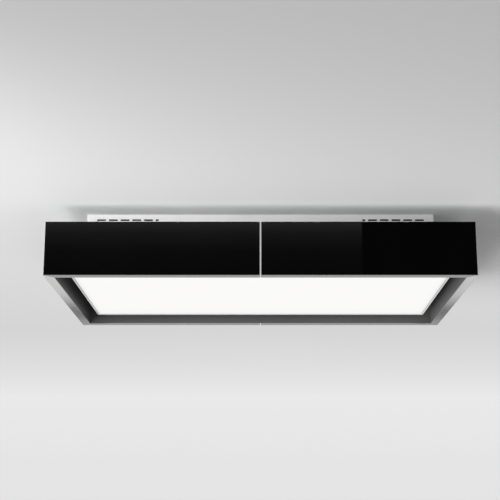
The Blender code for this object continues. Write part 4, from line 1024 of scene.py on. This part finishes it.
low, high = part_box("control_box_lid")
inset = 0.008
corners = [(x, y) for x in (low.x + inset, high.x - inset) for y in (low.y + inset, high.y - inset)]
points = [(x, y, low.z) for x, y in corners]
screw_heads("control_lid_screws", points, DOWN, "control_box_lid")
low, high, centre = box_of("led_driver")
corners = [(x, y) for x in (low.x + 0.006, high.x - 0.006) for y in (-0.016, 0.016)]
points = [(x, centre.y + y, high.z - 0.0016) for x, y in corners]
screw_heads("driver_screws", points, DOWN, "led_driver")
low, high, centre = box_of("terminal_block")
head = slotted_pattern()
points = [(x, centre.y, low.z) for x in spaced(low.x + 0.006, high.x - 0.006, 6)]
screw_heads("terminal_screws", points, DOWN, "terminal_block", head, brass)
bpy.data.objects.remove(head)


# The grease filters. Three cassettes of folded aluminium frame, each holding layers of
# expanded aluminium mesh. They hook in at the back and latch at the front, and are lifted
# out to be washed.
STRAND = (0.0011, 0.0006)
DIAMOND = (0.0125, 0.0063)


def expanded_mesh_tree():
    """A sheet of expanded metal: diamonds whose strands run on under the frame."""
    sizes = {"Length": "Float", "Width": "Float", "Half": "Vector", "Place": "Vector"}
    works = Works("expanded_mesh", **sizes, Shift="Float")
    low, high, centre = box_of("grease_filter_centre")
    across = high - centre
    cells = math.ceil(math.sqrt(8.0) * (across.x / DIAMOND[0] + across.y / DIAMOND[1]))
    sockets = {"Size X": 1.0, "Size Y": 1.0, "Vertices X": cells + 1, "Vertices Y": cells + 1}
    grid = works.node("GeometryNodeMeshGrid", sockets, "Mesh")
    sockets = {"Geometry": grid, "Rotation": (0.0, 0.0, math.pi / 4)}
    wide = works.node("GeometryNodeTransform", sockets)
    root = math.sqrt(2.0) * 0.5 * cells
    sockets = {0: works.size("Length") * root, 1: works.size("Width") * root, 2: 1.0}
    sockets = {"Geometry": wide, "Scale": works.node("ShaderNodeCombineXYZ", sockets)}
    sockets["Translation"] = works.node("ShaderNodeCombineXYZ", {0: works.size("Shift")})
    wide = works.node("GeometryNodeTransform", sockets)
    spot = works.node("GeometryNodeInputPosition")
    spot, half = (
        works.node("ShaderNodeSeparateXYZ", {0: vector}).socket.node.outputs
        for vector in (spot, works.size("Half"))
    )
    beyond = [abs(Wire(works.tree, spot[i])) > Wire(works.tree, half[i]) for i in (0, 1)]
    sockets = {0: wide, 1: (beyond[0] + beyond[1]) > 0.5}
    kept = works.node("GeometryNodeDeleteGeometry", sockets, domain="POINT")
    lines = works.node("GeometryNodeMeshToCurve", {0: kept})
    sockets = {"Width": STRAND[0], "Height": STRAND[1]}
    section = works.node("GeometryNodeCurvePrimitiveQuadrilateral", sockets)
    strands = works.node("GeometryNodeCurveToMesh", {0: lines, 1: section})
    sockets = {"Geometry": strands, "Translation": works.size("Place")}
    works.end(works.node("GeometryNodeTransform", sockets))
    return works


expanded_mesh = expanded_mesh_tree()


def matted_finish():
    mat = Finish("matted_aluminium_mesh", Metallic=0.6)
    where = mat.place()
    tangle = mat.cells(where, 480.0, "DISTANCE_TO_EDGE")
    second = mat.cells(mat.place(moved=(0.3, 0.1, 0.0)), 380.0, "DISTANCE_TO_EDGE")
    # Between the wires the core is painted near black: painted shade for the depth of the mesh.
    wires = tangle.at_most(second).between(0.10, 0.02)
    mat.vary("Base Color", mat.over(wires, (0.02, 0.02, 0.02, 1.0), (0.42, 0.42, 0.43, 1.0)))
    mat.vary("Roughness", 0.35 + wires * 0.1)
    mat.relief(wires, 0.0006)
    return mat.material


matted_mesh = matted_finish()
for side in ("left", "centre", "right"):
    node = f"grease_filter_{side}"
    low, high, centre = box_of(node)
    half = high - centre
    border = 0.014
    outlines = (
        rounded_outline(half.x, half.y, 0.003, 3),
        rounded_outline(half.x - border, half.y - border, 0.002, 3),
    )
    outer, inner = ([(x + centre.x, y + centre.y) for x, y in line] for line in outlines)
    rim = ring_wall(f"grease_frame_{side}", outer, inner, low.z, high.z)
    ease(rim, 0.0009, 3, 50.0)
    fit(rim, mill_aluminium, node, (node,))
    reach = Vector((half.x - border + 0.006, half.y - border + 0.006, 0.0))
    for layer, (height, shift) in enumerate(((0.0014, 0.0), (0.0030, 0.0031), (0.0064, 0.0016))):
        sizes = {
            "Length": DIAMOND[0] / math.sqrt(2.0),
            "Width": DIAMOND[1] / math.sqrt(2.0),
            "Half": reach,
            "Place": Vector((centre.x, centre.y, low.z + height)),
            "Shift": shift,
        }
        name = f"grease_mesh_{side}_{layer}"
        sheet = expanded_mesh.run(name, [], mill_aluminium, **sizes)
        fit(sheet, mill_aluminium, node)
    lap = Vector((half.x - border + 0.002, half.y - border + 0.002, 0.0003))
    core = ease(made(f"grease_core_{side}", block(centre - lap, centre + lap)), 0.0001, 1)
    fit(core, matted_mesh, node)


# The latches. A sprung black slider on the front edge of each grease filter. Its tongue
# goes through the keeper, and ribs across it give the finger a grip.
def rib_pattern():
    shape = block((-0.0125, -0.0005, 0.0), (0.0125, 0.0005, 0.0006))
    return ease(made("rib_pattern", shape), 0.0002, 1)


RIBS = 5
rib = rib_pattern()
for side in ("left", "centre", "right"):
    node = f"filter_latch_{side}"
    dress(node, black_plastic, 0.0005)
    low, high, centre = box_of(node)
    underside = high.z - 0.003
    along = spaced(low.y + 0.0115, low.y + 0.0205, RIBS)
    points = [(centre.x, y, underside) for y in along]
    ribs = laid(f"latch_ribs_{side}", points, rib, DOWN, black_plastic)
    fit(smooth(ribs), black_plastic, node)
bpy.data.objects.remove(rib)


# The hinges and catches. Zinc-plated brackets under the filter plate hold the pins of two
# folded leaves at the back of the light panel. Two magnets at its front hold it shut by
# steel strike plates.
for side in ("left", "right"):
    dress(f"hinge_bracket_{side}", zinc_plate, 0.0003)
    dress(f"hinge_leaf_{side}", zinc_plate, 0.0003)
    dress(f"magnet_catch_{side}", black_plastic, 0.0010, 3)
    dress(f"strike_plate_{side}", zinc_plate, 0.0003)

for side in ("left", "right"):
    low, high, centre = box_of(f"hinge_leaf_{side}")
    leaf_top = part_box("panel_tray")[1].z + 0.0015
    y = low.y + 0.007
    points = [(centre.x + x, y, leaf_top) for x in (-0.008, 0.008)]
    screw_heads(f"leaf_screws_{side}", points, UP, f"hinge_leaf_{side}")


# The light panel. A tray of white-coated aluminium that swings down from the hinges, with
# two strips of light-emitting diodes inside. A bright extruded trim with mitred corners
# holds the opal sheet, which is lit evenly and falls off a little towards its ends.
PAINT_WHITE = (0.3, (0.76, 0.76, 0.745)), (0.75, (0.79, 0.79, 0.775))
white_paint = skin_finish(
    "white_powder_coat", 0.4, 900.0, 6.0, PAINT_WHITE, (0.38, 0.08), 0.00002, 2.0
)
dress("panel_tray", white_paint, 0.0003)

PEARL = (0.3, (0.86, 0.86, 0.865)), (0.7, (0.93, 0.93, 0.93))
look = {"Metallic": 0.25, "Specular_IOR_Level": 0.8}
level = (12.0, 12.0, 2400.0)
pearl_trim = drawn_finish("pearl_anodised_aluminium", level, PEARL, 0.28, 0.05, **look)
dress("panel_trim", pearl_trim, 0.0004)


def opal_finish():
    opal = Finish(
        "opal_acrylic",
        Emission_Strength=1.0,
        Base_Color=(0.0, 0.0, 0.0, 1.0),
        Specular_IOR_Level=0.05,
    )
    low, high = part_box("diffuser")
    where = opal.place()
    from_end = high.x - abs(opal.part(where, "X"))
    from_side = high.y - abs(opal.part(where, "Y"))
    glow = opal.ramp(
        from_end.at_most(from_side).between(0.0015, 0.0265), (0.0, (0.22, 0.23, 0.25)),
        (0.06, (0.42, 0.43, 0.45)), (0.14, (0.66, 0.665, 0.67)), (0.30, (0.84, 0.84, 0.835)),
        (0.6, (0.90, 0.895, 0.885)), (1.0, (0.915, 0.91, 0.895)),
    )
    opal.vary("Emission Color", glow)
    opal.vary("Roughness", 0.3 + opal.cloud(where, 900.0) * 0.1)
    return opal.material


opal_acrylic = opal_finish()
dress("diffuser", opal_acrylic, 0.0004)
for side in ("front", "back"):
    dress(f"led_strip_{side}", white_plastic, 0.0001, 1)

PHOSPHOR = (0.3, (0.80, 0.62, 0.10)), (0.7, (0.86, 0.72, 0.2))
phosphor = stained_finish(
    "yellow_phosphor", (700.0,), PHOSPHOR, (0.3, 0.1), Specular_IOR_Level=0.5
)

# Small square packages set out along both strips.
DIODES = 72
shape = block((-0.0014, -0.0014, 0.0), (0.0014, 0.0014, 0.0007))
chip = ease(made("diode_pattern", shape), 0.0003, 1)
for side in ("front", "back"):
    node = f"led_strip_{side}"
    low, high, centre = box_of(node)
    along = spaced(low.x + 0.012, high.x - 0.012, DIODES)
    points = [(x, centre.y, low.z) for x in along]
    chips = laid(f"diodes_{side}", points, chip, DOWN, phosphor)
    fit(chips, phosphor, node)
bpy.data.objects.remove(chip)
for pattern in (small_head, weld):
    bpy.data.objects.remove(pattern)


# The room. A pale ceiling that the hood hangs from and a pale floor far below, with soft
# light from the left and below. The ceiling is seen only from beneath.
def seen_from_the_room(finish):
    """Clears the back of a plane, so that the hood also shows from outside the room."""
    back = finish.node("ShaderNodeNewGeometry", output="Backfacing")
    clear = finish.node("ShaderNodeBsdfTransparent")
    solid = Wire(finish.tree, finish.shader.outputs[0])
    seen = finish.node("ShaderNodeMixShader", {0: back, 1: solid, 2: clear})
    finish.tree.links.new(seen.socket, finish.tree.nodes["Material Output"].inputs[0])
    return finish.material


def ceiling_finish():
    plaster = Finish("ceiling_plaster")
    where = plaster.place()
    away = plaster.part(where, "Y")
    # The ceiling is painted in bands, lighter and darker from front to back: painted light and painted
    # shade.
    tone = plaster.ramp(
        away.between(-1.4, 9.0), (0.0, (0.555, 0.555, 0.555)), (0.10, (0.745, 0.745, 0.745)),
        (0.27, (0.675, 0.675, 0.675)), (0.48, (0.835, 0.835, 0.835)), (1.0, (0.80, 0.80, 0.80)),
    )
    # Its front part is painted darker towards the right: painted shade.
    painted_shade_rightward = plaster.part(where, "X").between(-0.6, 0.8) * (1.0 - away.between(0.0, 1.0))
    plaster.vary("Base Color", plaster.over(painted_shade_rightward * 0.17, tone, (0.0, 0.0, 0.0, 1.0)))
    plaster.shader.inputs["Roughness"].default_value = 0.9
    plaster.shader.inputs["Specular IOR Level"].default_value = 0.1
    return seen_from_the_room(plaster)


def sheet_of(name, corners, finish):
    """One flat face of the surroundings, which lights and shades nothing."""
    mesh = bpy.data.meshes.new(name)
    mesh.from_pydata(corners, [], [(0, 1, 2, 3)])
    plane = shown(name, mesh)
    plane.data.materials.append(finish)
    plane.visible_diffuse = False
    plane.visible_shadow = False
    return plane


REACH = 60.0
CEILING = 0.0004
FLOOR = -3.4
square = [(-REACH, -REACH), (REACH, -REACH), (REACH, REACH), (-REACH, REACH)]
corners = [(x, y, CEILING) for x, y in reversed(square)]
sheet_of("ceiling", corners, ceiling_finish()).visible_glossy = False
floor_finish = Finish("pale_floor", Roughness=0.8, Base_Color=(0.72, 0.71, 0.70, 1.0))
corners = [(x, y, FLOOR) for x, y in square]
sheet_of("floor", corners, seen_from_the_room(floor_finish)).visible_glossy = False

# The sky is bright below the hood and dimmer above it. Its dark band is what the back rail
# reflects. Dull surfaces are lit by an even fill instead.
world = bpy.data.worlds.new("room_light")
bpy.context.scene.world = world
world.use_nodes = True
sky = Tree(world.node_tree)
direction = sky.node("ShaderNodeTexCoord", output="Generated")
split = sky.node("ShaderNodeSeparateXYZ", {0: direction})
parts = [Wire(sky.tree, split.socket.node.outputs[i]) for i in range(3)]
below = parts[2].between(0.06, -0.10)
leftward = 1.0 - parts[0] * 0.15
band_start = parts[2].between(-0.228, -0.216)
band_end = parts[2].between(-0.2125, -0.2065)
rail_band = parts[1].between(0.80, 0.95) * band_start * (1.0 - band_end * 0.60)
ahead = (0.0 - parts[1]).between(0.75, 0.90) * (0.0 - parts[2]).between(-0.6, -0.4)
above = 0.42 - ahead * 0.402
shine = above * (1.0 - below) + below * 0.68 * leftward * (1.0 - rail_band)
fill = 0.14 + below * 0.35
soft = sky.node("ShaderNodeLightPath", output="Is Diffuse Ray")
glow = fill * soft + shine * (1.0 - soft)
lamp = sky.tree.nodes["Background"]
lamp.inputs["Color"].default_value = (1.0, 1.0, 1.0, 1.0)
sky.tree.links.new(glow.socket, lamp.inputs["Strength"])


def light(name, kind, travel, power, place=(0.0, 0.0, 0.0)):
    """A lamp that shines the way it travels, and that reflections don't show."""
    data = bpy.data.lights.new(name, kind)
    data.energy = power
    lamp = bpy.data.objects.new(name, data)
    lamp.location = place
    lamp.rotation_euler = Vector(travel).to_track_quat("-Z", "Y").to_euler()
    lamp.visible_glossy = False
    bpy.context.scene.collection.objects.link(lamp)
    return data


light("key_light", "SUN", (1.44, 0.83, 1.0), 3.0).angle = math.radians(42.0)
light("top_light", "SUN", (0.05, 0.05, -1.0), 2.6).angle = math.radians(20.0)
side_lamp = light("side_light", "AREA", (1.4, 1.515, 0.17), 4.7, (-1.7, -1.75, -0.20))
side_lamp.shape = "RECTANGLE"
side_lamp.size = 0.5
side_lamp.size_y = 0.25
side_lamp.spread = math.radians(60.0)

# A soft board behind the camera that only reflections see, fading towards its foot.
low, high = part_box("glass_front_left")
y = low.y - 1.0
left, right, top = -1.2, 0.385, 0.40
corners = [(left, y, 0.0), (right, y, 0.0), (right, y, top), (left, y, top)]
cloth = Finish("reflector_cloth", Base_Color=(0.0, 0.0, 0.0, 1.0), Emission_Strength=1.0)
height = cloth.part(cloth.place(), "Z")
glow = cloth.ramp(
    height.between(0.05, 0.27), (0.0, (0.015, 0.015, 0.015)), (0.45, (0.035, 0.035, 0.035)),
    (0.75, (0.12, 0.12, 0.12)), (1.0, (0.33, 0.33, 0.33)),
)
cloth.vary("Emission Color", glow)
board = sheet_of("glass_reflector", corners, cloth.material)
board.visible_camera = False
board.visible_transmission = False

# The camera stands in front of the hood and below it, and looks up a little.
scene = bpy.context.scene
scene.view_settings.view_transform = "Standard"
lens = bpy.data.cameras.new("camera")
lens.lens = 74.449
lens.sensor_width = 36.0
lens.shift_x = -0.01894
lens.shift_y = 0.15
lens.clip_end = 200.0
camera = bpy.data.objects.new("camera", lens)
camera.location = (-0.003, -3.0945, -0.9272)
camera.rotation_euler = (math.radians(90.0 + 11.849), 0.0, 0.0)
scene.collection.objects.link(camera)
scene.camera = camera
